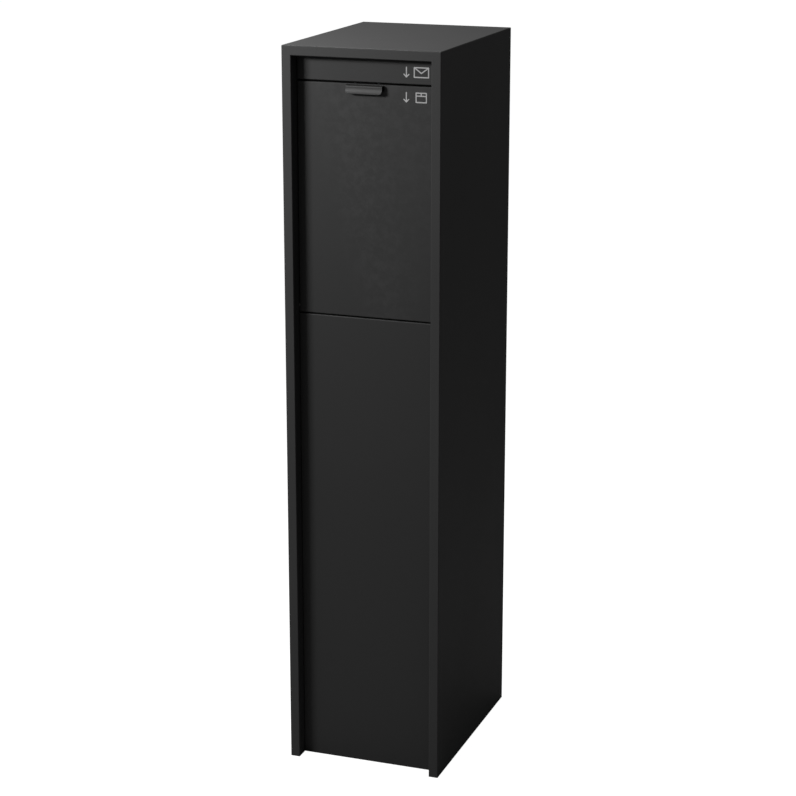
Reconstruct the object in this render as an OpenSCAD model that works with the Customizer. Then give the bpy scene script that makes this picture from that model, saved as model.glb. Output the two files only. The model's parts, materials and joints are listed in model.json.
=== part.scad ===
// Free-standing letter and parcel box of folded sheet steel: an inward letter flap at the top,
// a tilting parcel door with a drop hopper below it, and a locked door at the back.
// Origin: middle of the footprint, on the ground. +X is the right-hand side seen from the
// front, -Y points out of the front and +Z is up. All sizes are millimetres.

/* [Cabinet] */
// Overall width across the side walls
cabinet_w = 300; // [240:1:400]
// Overall depth from the front frame to the back frame
cabinet_d = 410; // [340:1:520]
// Overall height
cabinet_h = 1370; // [1100:1:1700]
// Thickness of the coated steel sheet
sheet_t = 1.5; // [1:0.1:2]
// Width of the frame round the front and the back
frame_w = 18; // [16:0.5:24]
// Depth of the fold behind the front frame
front_jamb_d = 50; // [44:1:60]
// Thickness of the base plate
base_t = 2; // [1.5:0.5:4]
// Distance across the width between the anchor holes
anchor_dx = 200; // [120:1:210]
// Distance along the depth between the anchor holes
anchor_dy = 260; // [180:1:280]
// Radius of an anchor hole
anchor_r = 5.5; // [4:0.5:7]

/* [Front panels] */
// How far the front panels sit behind the frame
panel_recess = 25; // [18:1:28]
// Depth of the folded edge of the parcel door and the lower panel
panel_fold = 14; // [12:0.5:16]
// Gap beside each moving door
side_gap = 1.5; // [1.2:0.1:2.5]
// Height of the letter flap
flap_h = 42.5; // [38:0.5:60]
// Gap between the top rail and the letter flap
flap_top_gap = 2; // [1.8:0.1:3]
// Gap between the letter flap and the parcel door
flap_bottom_gap = 3; // [2.5:0.1:4]
// Height of the parcel door
parcel_door_h = 424; // [350:1:520]
// Gap between the parcel door and the lower panel
door_bottom_gap = 2.5; // [2.2:0.1:4]

/* [Pull tab] */
// Width of the pull tab
tab_w = 69; // [50:1:100]
// Thickness of the pull tab
tab_t = 2; // [1.5:0.1:2.5]
// How far the lip of the tab stands out from the door
tab_reach = 11; // [9:0.5:15]
// Radius of the two lower corners of the tab
tab_corner_r = 5; // [3:0.5:8]

/* [Hopper] */
// How far the parcel door tilts out
door_tilt = 50; // [45:1:50]
// Depth of the shaft that letters fall down behind the hopper
letter_shaft_d = 42; // [32:1:55]
// Clearance between the hopper's swing and the shaft
hopper_swing_gap = 13; // [8:1:18]
// Slope of the letter chute in degrees
chute_slope = 22; // [15:1:28]

/* [Rear door and lock] */
// How far the rear door sits behind the back frame
rear_recess = 4; // [3:0.5:5]
// Depth of the folded edge of the rear door
rear_fold = 16; // [14:0.5:18]
// Gap round the rear door
rear_gap = 2; // [1.5:0.1:3]
// Distance of the lock's axis from the free edge of the rear door
lock_inset = 20; // [19:0.5:24]
// Radius of the lock's barrel
lock_r = 8; // [7:0.5:9]

/* [Pins and fasteners] */
// Radius of the parcel door's and the rear door's pivot pins
pivot_r = 3; // [2.5:0.25:3.5]
// Radius of the letter flap's rod
rod_r = 2; // [1.5:0.25:2.5]
// Radial clearance between a pin and its hole
pin_clearance = 0.05; // [0.02:0.01:0.1]
// Radius of a rivet's shank
rivet_r = 1.6; // [1.2:0.1:2]

/* [Hidden] */

$fn = 48;
coat = "#3a3a3a";
zinc = "#9a9da0";
rubber = "#1c1c1c";
print_grey = "#b8b8b8";
bright_metal = "#c8c8c8";

// Extra length of a cut, so that it passes right through
through = 1;
// Reach of a rivet hole's cut past the two sheets it joins
hole_reach = 3;
// Clearance between pieces that are set in place and don't move
fit_gap = 0.3;

// Main planes of the cabinet
front_y = -cabinet_d / 2;
rear_y = cabinet_d / 2;
skin_x = cabinet_w / 2 - sheet_t;
jamb_x = cabinet_w / 2 - frame_w;
jamb_back_x = jamb_x + sheet_t;
header_z = cabinet_h - frame_w;
front_jamb_y = front_y + front_jamb_d;

// Front panels
panel_y = front_y + panel_recess;
panel_back_y = panel_y + panel_fold;
door_x = jamb_x - side_gap;
flap_top_z = header_z - flap_top_gap;
flap_bottom_z = flap_top_z - flap_h;
door_top_z = flap_bottom_z - flap_bottom_gap;
door_bottom_z = door_top_z - parcel_door_h;
lower_top_z = door_bottom_z - door_bottom_gap;
lower_bottom_z = 1;
lower_side_gap = 0.5;
lower_x = jamb_x - lower_side_gap;

// Pivot of the letter flap, and its fold
flap_fold = 12;
flap_pivot_in = 7;
flap_pivot_down = 9;
flap_axis_y = panel_y + flap_pivot_in;
flap_axis_z = flap_top_z - flap_pivot_down;

// Pivot of the parcel door
door_pivot_in = 6;
door_pivot_up = 12;
door_axis_y = panel_y + door_pivot_in;
door_axis_z = door_bottom_z + door_pivot_up;

// Rear door, its pivot and its lock
rear_door_y = rear_y - rear_recess;
rear_door_inner_y = rear_door_y - rear_fold;
rear_door_x = jamb_x - rear_gap;
rear_door_low_z = frame_w + rear_gap;
rear_door_high_z = header_z - rear_gap;
rear_pivot_from_edge = 10;
rear_pivot_in = 5;
rear_axis_x = -(rear_door_x - rear_pivot_from_edge);
rear_axis_y = rear_door_y - rear_pivot_in;
lock_x = rear_door_x - lock_inset;
lock_z = cabinet_h / 2;
stop_strip_gap = 1.2;
stop_strip_y = rear_door_inner_y - stop_strip_gap;
rear_jamb_y = stop_strip_y;
stop_lip = 10;

// Horizontal stop lips start clear of the hinge corner of the rear door
strip_start_x = rear_axis_x + 25;
strip_end_x = jamb_x - stop_lip;

// Letter sill, chute and the shaft behind the hopper
sill_y = panel_back_y + 2;
sill_top_z = door_top_z + 0.5;
sill_leg_d = 20;
sill_leg_h = 30;
chute_landing = 10;
chute_front_y = sill_y + sill_leg_d - chute_landing;
chute_top_z = sill_top_z - sheet_t;
baffle_y = rear_door_inner_y - letter_shaft_d;
chute_x = skin_x - fit_gap;
chute_drop = (baffle_y - chute_front_y - chute_landing) * tan(chute_slope);
baffle_below_pivot = 120;
baffle_bottom_z = door_axis_z - baffle_below_pivot;
bend_r = 1.5;

// Hopper that tilts with the parcel door
hopper_r = baffle_y - door_axis_y - hopper_swing_gap;
cheek_outer_x = door_x - sheet_t;
cheek_inner_x = cheek_outer_x - sheet_t;
cheek_end_gap = 4;
cheek_fit = 0.2;
cheek_r = hopper_r - cheek_end_gap;
arc_top_angle = 62;
arc_steps = 28;
floor_start = 12;
floor_lift = 1;
floor_end_gap = 5;
floor_end = hopper_r - floor_end_gap;
floor_flange_h = 12;
flange_setback = 15;
floor_rivets = 3;
flange_rivet_lift = 7;
flange_rivet_z = floor_lift + flange_rivet_lift;
door_rivets = 4;
door_rivet_in = 9;
door_rivet_y = panel_y + door_rivet_in;
lug_r = 5;
lug_share = 0.65;
lug_radius = lug_share * hopper_r;
lug_angle = 6;
lug_reach = 12;
lug_x = cheek_outer_x + lug_reach;
stop_gap = 0.3;
cheek_gap = 2;
pad_t = 5;
pad_z = door_axis_z + lug_radius * sin(lug_angle) + lug_r + stop_gap;
pad_y = door_axis_y + lug_radius * cos(lug_angle);

// Pull tab: a strip under the door's top fold that comes out through a slot
tab_drop = 20;
tab_bend_in = 6;
tab_slot_gap = 1;
tab_slot_top = 2;
tab_slot_bottom = 11.5;
tab_rivet_inset = 12;
tab_rivet_in = 10;
tab_lip_z = door_top_z - tab_drop;
tab_bend_y = panel_y + tab_bend_in;
tab_slot_top_z = door_top_z - tab_slot_top;
tab_slot_bottom_z = door_top_z - tab_slot_bottom;
tab_rivet_x = tab_w / 2 - tab_rivet_inset;
tab_rivet_y = panel_y + tab_rivet_in;

// Pictograms, printed in a thin raised layer
print_t = 0.3;
stroke = 2;
envelope_w = 28;
envelope_h = 18.5;
carton_w = 21;
carton_h = 18.5;
arrow_h = 18.5;
arrow_w = 11;
pictogram_inset = 13;
pictogram_right_x = jamb_x - pictogram_inset;
icon_gap = 8;
flap_icon_z = flap_bottom_z + (flap_h - envelope_h) / 2;
door_icon_down = 29;
door_icon_z = door_top_z - door_icon_down;

// Fasteners
screw_r = 2;
screw_head_r = 3.5;
screw_head_h = 2.2;
screw_reach = 6;
screw_count = 3;
screw_y = panel_y + panel_fold / 2;
rivet_head_r = 3;
rivet_head_h = 1;
chute_rivet_xs = [-1, 0, 1] * 0.76 * jamb_x;
hinge_plate_t = 3;
flap_plate_t = 2;
pin_head_lip = 2;
pin_head_h = 2.5;

// Lock
lock_flange_t = 2;
lock_flange_lip = 3;
lock_plug_r = lock_r - 2;
lock_barrel_end_y = rear_door_inner_y - 4;
lock_plug_end_y = lock_barrel_end_y - 2.5;
keyway_w = 1.4;
keyway_h = 7;
keyway_d = 6;
cam_t = 3;
cam_w = 12;
cam_reach = 17;

// A box between its lowest and highest corner
module block(low, high) {
    translate(low)
        cube(high - low);
}

// A shape and its mirror image on the other side of the cabinet
module both_sides() {
    children();
    mirror([1, 0, 0])
        children();
}

// A round bar along X from x0 to x1
module bar_x(r, x0, x1, y, z) {
    translate([x0, y, z])
        rotate([0, 90, 0])
            cylinder(r = r, h = x1 - x0);
}

// A round bar along Y from y0 to y1
module bar_y(r, y0, y1, x, z) {
    translate([x, y1, z])
        rotate([90, 0, 0])
            cylinder(r = r, h = y1 - y0);
}

// A round bar along Z from z0 to z1
module bar_z(r, z0, z1, x, y) {
    translate([x, y, z0])
        cylinder(r = r, h = z1 - z0);
}

// An outline in Y and Z, pushed out to both sides of the middle
module across(half_width) {
    translate([-half_width, 0, 0])
        rotate([90, 0, 90])
            linear_extrude(height = 2 * half_width)
                children();
}

// A tray with its face at y = front and its edges folded back by depth
module tray(half_w, low_z, high_z, front, depth) {
    difference() {
        block([-half_w, front, low_z], [half_w, front + depth, high_z]);
        block([-half_w + sheet_t, front + sheet_t, low_z + sheet_t],
            [half_w - sheet_t, front + depth + through, high_z - sheet_t]);
    }
}

function unit(v) = v / norm(v);
function left_of(v) = [-v[1], v[0]];
function turned(v, angle) = [v[0] * cos(angle) - v[1] * sin(angle),
    v[0] * sin(angle) + v[1] * cos(angle)];
function turn_at(a, b, c) = let (u = unit(b - a), w = unit(c - b))
    atan2(u[0] * w[1] - u[1] * w[0], u * w);

// Points of one side of a bend: the middle line turns at b with radius mid_r
bend_steps = 4;
function bend_points(a, b, c, mid_r, off) =
    let (u = unit(b - a), turn = turn_at(a, b, c), side = sign(turn),
        middle = b - u * mid_r * tan(abs(turn) / 2) + left_of(u) * side * mid_r)
    [for (k = [0 : bend_steps])
        middle - side * (mid_r - side * off) * turned(left_of(u), turn * k / bend_steps)];

// One side of a folded strip whose middle line runs through pts
function strip_side(pts, mid_r, off) =
    let (last = len(pts) - 1)
    concat([pts[0] + left_of(unit(pts[1] - pts[0])) * off],
        [for (i = [1 : 1 : last - 1]) each bend_points(pts[i - 1], pts[i], pts[i + 1], mid_r, off)],
        [pts[last] + left_of(unit(pts[last] - pts[last - 1])) * off]);

function backwards(pts) = [for (i = [len(pts) - 1 : -1 : 0]) pts[i]];

// Outline of a strip of thickness t, folded along pts with inside radius r
module folded_strip(pts, t, r) {
    polygon(concat(strip_side(pts, r + t / 2, t / 2),
        backwards(strip_side(pts, r + t / 2, -t / 2))));
}

// Section of a cabinet wall: skin, front frame, rear frame and the fold behind each
module wall_section() {
    t = sheet_t;
    polygon([[0, front_y], [frame_w, front_y], [frame_w, front_jamb_y],
        [frame_w - t, front_jamb_y], [frame_w - t, front_y + t], [t, front_y + t],
        [t, rear_y - t], [frame_w - t, rear_y - t], [frame_w - t, rear_jamb_y],
        [frame_w, rear_jamb_y], [frame_w, rear_y], [0, rear_y]]);
}

// Heights of the screws that hold the lower panel
function screw_z(i) = lower_bottom_z + (lower_top_z - lower_bottom_z) * (2 * i + 1) / (2 * screw_count);

// Side wall on the left, with the holes for the pins and the panel screws
module side_wall() {
    difference() {
        translate([-cabinet_w / 2, 0, 0])
            linear_extrude(height = cabinet_h - sheet_t)
                wall_section();
        bar_x(rod_r + pin_clearance, -jamb_back_x - through, -jamb_x + through, flap_axis_y, flap_axis_z);
        bar_x(pivot_r + pin_clearance, -jamb_back_x - through, -jamb_x + through, door_axis_y, door_axis_z);
        for (i = [0 : screw_count - 1])
            bar_x(screw_r + pin_clearance, -jamb_back_x - through, -jamb_x + through, screw_y, screw_z(i));
    }
}

module left_side_panel() {
    color(coat)
        side_wall();
}

module right_side_panel() {
    color(coat)
        mirror([1, 0, 0])
            side_wall();
}

module top_panel() {
    color(coat)
        difference() {
            union() {
                translate([-jamb_x, 0, cabinet_h])
                    rotate([0, 90, 0])
                        linear_extrude(height = 2 * jamb_x)
                            wall_section();
                block([-cabinet_w / 2, front_y, cabinet_h - sheet_t], [cabinet_w / 2, rear_y, cabinet_h]);
            }
            bar_z(pivot_r + pin_clearance, header_z - through, header_z + sheet_t + through,
                rear_axis_x, rear_axis_y);
        }
}

module base_plate() {
    flange_h = 25;
    flange_end_gap = 5;
    color(coat)
        difference() {
            union() {
                block([-chute_x, front_jamb_y + fit_gap, 0], [chute_x, rear_jamb_y - fit_gap, base_t]);
                block([-jamb_x + fit_gap, panel_back_y + fit_gap, 0],
                    [jamb_x - fit_gap, rear_y - sheet_t - fit_gap, base_t]);
                both_sides()
                    block([chute_x - sheet_t, front_jamb_y + flange_end_gap, 0],
                        [chute_x, rear_jamb_y - flange_end_gap, base_t + flange_h]);
            }
            for (x = [-1, 1] * anchor_dx / 2)
                for (y = [-1, 1] * anchor_dy / 2)
                    bar_z(anchor_r, -through, base_t + through, x, y);
        }
}

module rear_sill() {
    color(coat)
        difference() {
            union() {
                block([-jamb_x, rear_y - sheet_t, 0], [jamb_x, rear_y, frame_w]);
                block([-jamb_x, rear_jamb_y, frame_w - sheet_t], [jamb_x, rear_y, frame_w]);
            }
            bar_z(pivot_r + pin_clearance, frame_w - sheet_t - through, frame_w + through,
                rear_axis_x, rear_axis_y);
        }
}

module lower_front_panel() {
    color(coat)
        difference() {
            tray(lower_x, lower_bottom_z, lower_top_z, panel_y, panel_fold);
            for (i = [0 : screw_count - 1])
                bar_x(screw_r + pin_clearance, -jamb_x, jamb_x, screw_y, screw_z(i));
        }
}

module lower_panel_screws() {
    color(bright_metal)
        both_sides()
            for (i = [0 : screw_count - 1]) {
                bar_x(screw_r, lower_x - screw_reach, jamb_back_x, screw_y, screw_z(i));
                bar_x(screw_head_r, jamb_back_x, jamb_back_x + screw_head_h, screw_y, screw_z(i));
            }
}

module front_cross_rail() {
    below_pivot = 45;
    rail_top_z = door_axis_z - below_pivot;
    rail_h = 35;
    rail_d = 15;
    rail_y = panel_back_y + fit_gap;
    color(zinc)
        difference() {
            block([-jamb_x, rail_y, rail_top_z - rail_h], [jamb_x, rail_y + rail_d, rail_top_z]);
            block([-jamb_x - through, rail_y + sheet_t, rail_top_z - rail_h + sheet_t],
                [jamb_x + through, rail_y + rail_d + through, rail_top_z - sheet_t]);
        }
}

module letter_sill_rail() {
    color(zinc)
        difference() {
            union() {
                block([-jamb_x, sill_y, sill_top_z - sill_leg_h], [jamb_x, sill_y + sheet_t, sill_top_z]);
                block([-jamb_x, sill_y, sill_top_z - sheet_t], [jamb_x, sill_y + sill_leg_d, sill_top_z]);
            }
            for (x = chute_rivet_xs)
                bar_z(rivet_r + pin_clearance, sill_top_z - sheet_t - through, sill_top_z + through,
                    x, chute_front_y + chute_landing / 2);
        }
}

module letter_chute() {
    mid_z = chute_top_z - sheet_t / 2;
    color(zinc)
        difference() {
            across(chute_x)
                folded_strip([[chute_front_y, mid_z], [chute_front_y + chute_landing, mid_z],
                    [baffle_y, mid_z - chute_drop], [baffle_y, baffle_bottom_z]], sheet_t, bend_r);
            for (x = chute_rivet_xs)
                bar_z(rivet_r + pin_clearance, chute_top_z - sheet_t - through, chute_top_z + through,
                    x, chute_front_y + chute_landing / 2);
        }
}

module chute_rivets() {
    y = chute_front_y + chute_landing / 2;
    color(bright_metal)
        for (x = chute_rivet_xs) {
            bar_z(rivet_r, chute_top_z - sheet_t, sill_top_z, x, y);
            bar_z(rivet_head_r, sill_top_z, sill_top_z + rivet_head_h, x, y);
        }
}

module flap_stop_strip() {
    stop_y = panel_y + flap_fold + fit_gap;
    half_w = 60;
    above_pivot = 2;
    color(zinc)
        block([-half_w, stop_y, flap_axis_z + above_pivot], [half_w, stop_y + sheet_t, header_z]);
}

module flap_hinge_plates() {
    half = 10;
    color(zinc)
        both_sides()
            difference() {
                block([jamb_back_x, flap_axis_y - half, flap_axis_z - half],
                    [jamb_back_x + flap_plate_t, flap_axis_y + half, flap_axis_z + half]);
                bar_x(rod_r + pin_clearance, jamb_x, jamb_back_x + flap_plate_t + through,
                    flap_axis_y, flap_axis_z);
            }
}

module flap_hinge_rod() {
    rod_end = 5;
    color(bright_metal)
        bar_x(rod_r, -jamb_back_x - rod_end, jamb_back_x + rod_end, flap_axis_y, flap_axis_z);
}

module flap_rod_clips() {
    clip_t = 0.8;
    clip_lip = 2;
    clip_x = jamb_back_x + flap_plate_t + 0.2;
    color(bright_metal)
        both_sides()
            difference() {
                bar_x(rod_r + clip_lip, clip_x, clip_x + clip_t, flap_axis_y, flap_axis_z);
                bar_x(rod_r + pin_clearance, clip_x - through, clip_x + clip_t + through,
                    flap_axis_y, flap_axis_z);
            }
}

module parcel_hinge_plates() {
    half_d = 12;
    half_h = 15;
    color(zinc)
        both_sides()
            difference() {
                block([jamb_back_x, door_axis_y - half_d, door_axis_z - half_h],
                    [jamb_back_x + hinge_plate_t, door_axis_y + half_d, door_axis_z + half_h]);
                bar_x(pivot_r + pin_clearance, jamb_x, jamb_back_x + hinge_plate_t + through,
                    door_axis_y, door_axis_z);
            }
}

module parcel_hinge_pins() {
    head_x = jamb_back_x + hinge_plate_t;
    inner_end = 1.5;
    color(bright_metal)
        both_sides() {
            bar_x(pivot_r, cheek_inner_x - inner_end, head_x, door_axis_y, door_axis_z);
            bar_x(pivot_r + pin_head_lip, head_x, head_x + pin_head_h, door_axis_y, door_axis_z);
        }
}

module parcel_door_bumpers() {
    bumper_r = 6;
    bumper_gap = 0.2;
    from_jamb = 40;
    below_top = 8;
    color(rubber)
        both_sides()
            bar_y(bumper_r, panel_back_y + bumper_gap, sill_y, jamb_x - from_jamb, door_top_z - below_top);
}

module hopper_stop_brackets() {
    ledge_z = pad_z + pad_t;
    t = 3;
    half_d = 15;
    leg_h = 40;
    color(zinc)
        both_sides() {
            block([cheek_outer_x + cheek_gap, pad_y - half_d, ledge_z],
                [skin_x, pad_y + half_d, ledge_z + t]);
            block([skin_x - t, pad_y - half_d, ledge_z], [skin_x, pad_y + half_d, ledge_z + leg_h]);
        }
}

module hopper_stop_pads() {
    half_d = 10;
    past_lug = 1;
    color(rubber)
        both_sides()
            block([cheek_outer_x + cheek_gap, pad_y - half_d, pad_z],
                [lug_x + past_lug, pad_y + half_d, pad_z + pad_t]);
}

// Plate that stiffens a pivot of the rear door, between two heights
module pivot_plate(z0, z1) {
    front_reach = 11;
    side_reach = 20;
    difference() {
        block([-jamb_x + fit_gap, rear_axis_y - front_reach, z0],
            [rear_axis_x + side_reach, rear_y - sheet_t - fit_gap, z1]);
        bar_z(pivot_r + pin_clearance, z0 - through, z1 + through, rear_axis_x, rear_axis_y);
    }
}

module rear_pivot_plates() {
    color(zinc) {
        pivot_plate(header_z + sheet_t, header_z + sheet_t + hinge_plate_t);
        pivot_plate(frame_w - sheet_t - hinge_plate_t, frame_w - sheet_t);
    }
}

module rear_pivot_pins() {
    reach = 8;
    top_z = header_z + sheet_t + hinge_plate_t;
    bottom_z = frame_w - sheet_t - hinge_plate_t;
    color(bright_metal) {
        bar_z(pivot_r, rear_door_high_z - reach, top_z, rear_axis_x, rear_axis_y);
        bar_z(pivot_r + pin_head_lip, top_z, top_z + pin_head_h, rear_axis_x, rear_axis_y);
        bar_z(pivot_r, bottom_z, rear_door_low_z + reach, rear_axis_x, rear_axis_y);
        bar_z(pivot_r + pin_head_lip, bottom_z - pin_head_h, bottom_z, rear_axis_x, rear_axis_y);
    }
}

// Flat bars welded behind the back frame's fold: one upright at the lock, one above, one below
module rear_stop_strips() {
    low_y = stop_strip_y - sheet_t;
    color(zinc) {
        block([jamb_x - stop_lip, low_y, frame_w - sheet_t], [jamb_back_x, stop_strip_y, header_z + sheet_t]);
        block([strip_start_x, low_y, header_z - stop_lip], [strip_end_x, stop_strip_y, header_z + sheet_t]);
        block([strip_start_x, low_y, frame_w - sheet_t], [strip_end_x, stop_strip_y, frame_w + stop_lip]);
    }
}

module rear_door_seal() {
    seal_t = stop_strip_gap - 0.2;
    color(rubber) {
        block([jamb_x - stop_lip, stop_strip_y, frame_w], [jamb_x, stop_strip_y + seal_t, header_z]);
        block([strip_start_x, stop_strip_y, header_z - stop_lip],
            [strip_end_x, stop_strip_y + seal_t, header_z]);
        block([strip_start_x, stop_strip_y, frame_w],
            [strip_end_x, stop_strip_y + seal_t, frame_w + stop_lip]);
    }
}

module letter_flap() {
    color(coat)
        difference() {
            tray(door_x, flap_bottom_z, flap_top_z, panel_y, flap_fold);
            bar_x(rod_r + pin_clearance, -jamb_x, jamb_x, flap_axis_y, flap_axis_z);
        }
}

module flap_knuckles() {
    from_jamb = 42;
    knuckle_t = 4;
    half_h = 5;
    past_rod = 4;
    knuckle_x = jamb_x - from_jamb;
    color(coat)
        both_sides()
            difference() {
                block([knuckle_x, panel_y + sheet_t, flap_axis_z - half_h],
                    [knuckle_x + knuckle_t, flap_axis_y + past_rod, flap_axis_z + half_h]);
                bar_x(rod_r + pin_clearance, knuckle_x - through, knuckle_x + knuckle_t + through,
                    flap_axis_y, flap_axis_z);
            }
}

module flap_return_spring() {
    coil_x0 = 30;
    coil_x1 = 54;
    wire = 1.2;
    coil_r = rod_r + 1.2;
    leg_x = coil_x0 + 2;
    leg_y = panel_y + sheet_t + 0.1;
    leg_h = 16;
    color(bright_metal) {
        difference() {
            bar_x(coil_r + wire / 2, coil_x0, coil_x1, flap_axis_y, flap_axis_z);
            bar_x(coil_r - wire / 2, coil_x0 - through, coil_x1 + through, flap_axis_y, flap_axis_z);
        }
        block([leg_x, leg_y, flap_axis_z - wire / 2],
            [leg_x + wire, flap_axis_y - coil_r, flap_axis_z + wire / 2]);
        block([leg_x, leg_y, flap_axis_z - leg_h], [leg_x + wire, leg_y + wire, flap_axis_z + wire / 2]);
    }
}

// A line of a pictogram from a to b in X and Z, on a face at y
module line(a, b, y) {
    d = b - a;
    translate([a[0], y, a[1]])
        rotate([0, -atan2(d[1], d[0]), 0])
            translate([-stroke / 2, -print_t, -stroke / 2])
                cube([norm(d) + stroke, print_t, stroke]);
}

// A rectangle drawn with lines, its low corner at [x, z]
module frame_lines(x, z, w, h, y) {
    s = stroke;
    difference() {
        block([x, y - print_t, z], [x + w, y, z + h]);
        block([x + s, y - print_t - through, z + s], [x + w - s, y + through, z + h - s]);
    }
}

// An arrow that points down, its low corner at [x, z]
module down_arrow(x, z, y) {
    mid = x + arrow_w / 2;
    tip = z + stroke * 0.7;
    wing = arrow_w / 2 - stroke / 2;
    line([mid, z + arrow_h - stroke / 2], [mid, tip], y);
    line([mid, tip], [mid - wing, tip + wing], y);
    line([mid, tip], [mid + wing, tip + wing], y);
}

module letter_pictogram() {
    left = pictogram_right_x - envelope_w;
    z = flap_icon_z;
    inset = stroke / 2;
    top = z + envelope_h - inset;
    middle = [left + envelope_w / 2, z + envelope_h * 0.42];
    color(print_grey) {
        frame_lines(left, z, envelope_w, envelope_h, panel_y);
        line([left + inset, top], middle, panel_y);
        line(middle, [left + envelope_w - inset, top], panel_y);
        down_arrow(left - icon_gap - arrow_w, z, panel_y);
    }
}

module parcel_pictogram() {
    left = pictogram_right_x - (envelope_w + carton_w) / 2;
    z = door_icon_z;
    lid = z + carton_h * 0.68;
    color(print_grey) {
        frame_lines(left, z, carton_w, carton_h, panel_y);
        line([left + stroke / 2, lid], [left + carton_w - stroke / 2, lid], panel_y);
        line([left + carton_w / 2, lid], [left + carton_w / 2, z + carton_h - stroke / 2], panel_y);
        down_arrow(pictogram_right_x - envelope_w - icon_gap - arrow_w, z, panel_y);
    }
}

// Heights of the rivets that hold a cheek to the parcel door's fold
first_door_rivet = 40;
door_rivet_margin = 130;
function door_rivet_z(i) = door_axis_z + first_door_rivet
    + i * (parcel_door_h - door_rivet_margin) / (door_rivets - 1);

// Places along the hopper floor of the rivets that hold it to a cheek
floor_rivet_margin = 45;
function floor_rivet_at(i) = floor_start + floor_rivet_margin
    + i * (floor_end - floor_start - 2 * floor_rivet_margin) / (floor_rivets - 1);

// Holes for the rivets between a cheek and the door's fold
module door_rivet_holes() {
    for (i = [0 : door_rivets - 1])
        bar_x(rivet_r + pin_clearance, cheek_inner_x - hole_reach, door_x + through,
            door_rivet_y, door_rivet_z(i));
}

// Places what is drawn along the closed hopper floor: Y runs down the slope from the pivot
module on_hopper_floor() {
    translate([0, door_axis_y, door_axis_z])
        rotate([-door_tilt, 0, 0])
            children();
}

module floor_rivet_holes() {
    on_hopper_floor()
        for (i = [0 : floor_rivets - 1])
            bar_x(rivet_r + pin_clearance, cheek_inner_x - hole_reach, cheek_outer_x + through,
                floor_rivet_at(i), flange_rivet_z);
}

module parcel_door() {
    lip_h = 16;
    lip_gap = 1;
    color(coat)
        difference() {
            union() {
                tray(door_x, door_bottom_z, door_top_z, panel_y, panel_fold);
                block([-cheek_inner_x + lip_gap, panel_back_y - sheet_t, door_top_z - lip_h],
                    [cheek_inner_x - lip_gap, panel_back_y, door_top_z]);
            }
            block([-tab_w / 2 - tab_slot_gap, panel_y - through, tab_slot_bottom_z],
                [tab_w / 2 + tab_slot_gap, panel_y + sheet_t + through, tab_slot_top_z]);
            bar_x(pivot_r + pin_clearance, -jamb_x, jamb_x, door_axis_y, door_axis_z);
            both_sides()
                door_rivet_holes();
            both_sides()
                bar_z(rivet_r + pin_clearance, door_top_z - sheet_t - through, door_top_z + through,
                    tab_rivet_x, tab_rivet_y);
        }
}

module pull_tab() {
    root_z = door_top_z - sheet_t - tab_t / 2;
    lip_y = panel_y - tab_reach;
    r = tab_corner_r;
    half = tab_w / 2;
    color(coat)
        difference() {
            intersection() {
                across(half)
                    folded_strip([[panel_back_y - sheet_t - 1, root_z], [tab_bend_y, root_z],
                        [lip_y, tab_lip_z]], tab_t, bend_r);
                translate([0, panel_back_y, 0])
                    rotate([90, 0, 0])
                        linear_extrude(height = panel_fold + tab_reach + 5)
                            union() {
                                translate([-half, tab_lip_z - 2 + r])
                                    square([tab_w, 40]);
                                translate([-half + r, tab_lip_z - 2])
                                    square([tab_w - 2 * r, r + 1]);
                                for (x = [-half + r, half - r])
                                    translate([x, tab_lip_z - 2 + r])
                                        circle(r);
                            }
            }
            both_sides()
                bar_z(rivet_r + pin_clearance, root_z - tab_t, root_z + tab_t, tab_rivet_x, tab_rivet_y);
        }
}

module pull_tab_rivets() {
    low_z = door_top_z - sheet_t - tab_t;
    color(bright_metal)
        both_sides() {
            bar_z(rivet_r, low_z, door_top_z, tab_rivet_x, tab_rivet_y);
            bar_z(rivet_r + 1, door_top_z, door_top_z + 0.6, tab_rivet_x, tab_rivet_y);
        }
}

// Outline of a hopper cheek in Y and Z, measured from the pivot
function slope_point(along, up) = turned([along, up], -door_tilt);
cheek_front = sheet_t - door_pivot_in + cheek_fit;
cheek_bottom = sheet_t + fit_gap - door_pivot_up;
cheek_top = parcel_door_h - 57;
function cheek_outline() = concat(
    [[cheek_front, cheek_bottom], [panel_back_y - door_axis_y + cheek_fit, cheek_bottom],
        slope_point(20, -3)],
    [for (k = [0 : arc_steps])
        let (angle = -door_tilt + (arc_top_angle + door_tilt) * k / arc_steps)
        cheek_r * [cos(angle), sin(angle)]],
    [[panel_back_y - door_axis_y, cheek_top], [cheek_front, cheek_top]]);

// The hopper cheek on the right
module cheek() {
    difference() {
        translate([cheek_inner_x, door_axis_y, door_axis_z])
            rotate([90, 0, 90])
                linear_extrude(height = sheet_t)
                    polygon(cheek_outline());
        bar_x(pivot_r + pin_clearance, cheek_inner_x - through, cheek_outer_x + through,
            door_axis_y, door_axis_z);
        door_rivet_holes();
        floor_rivet_holes();
    }
}

module left_hopper_cheek() {
    color(coat)
        mirror([1, 0, 0])
            cheek();
}

module right_hopper_cheek() {
    color(coat)
        cheek();
}

module hopper_floor() {
    t = sheet_t;
    color(coat)
        difference() {
            on_hopper_floor() {
                block([-cheek_inner_x, floor_start, floor_lift - t], [cheek_inner_x, floor_end, floor_lift]);
                both_sides()
                    block([cheek_inner_x - t, floor_start + flange_setback, floor_lift - t],
                        [cheek_inner_x, floor_end - flange_setback, floor_lift + floor_flange_h]);
            }
            both_sides()
                floor_rivet_holes();
        }
}

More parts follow.
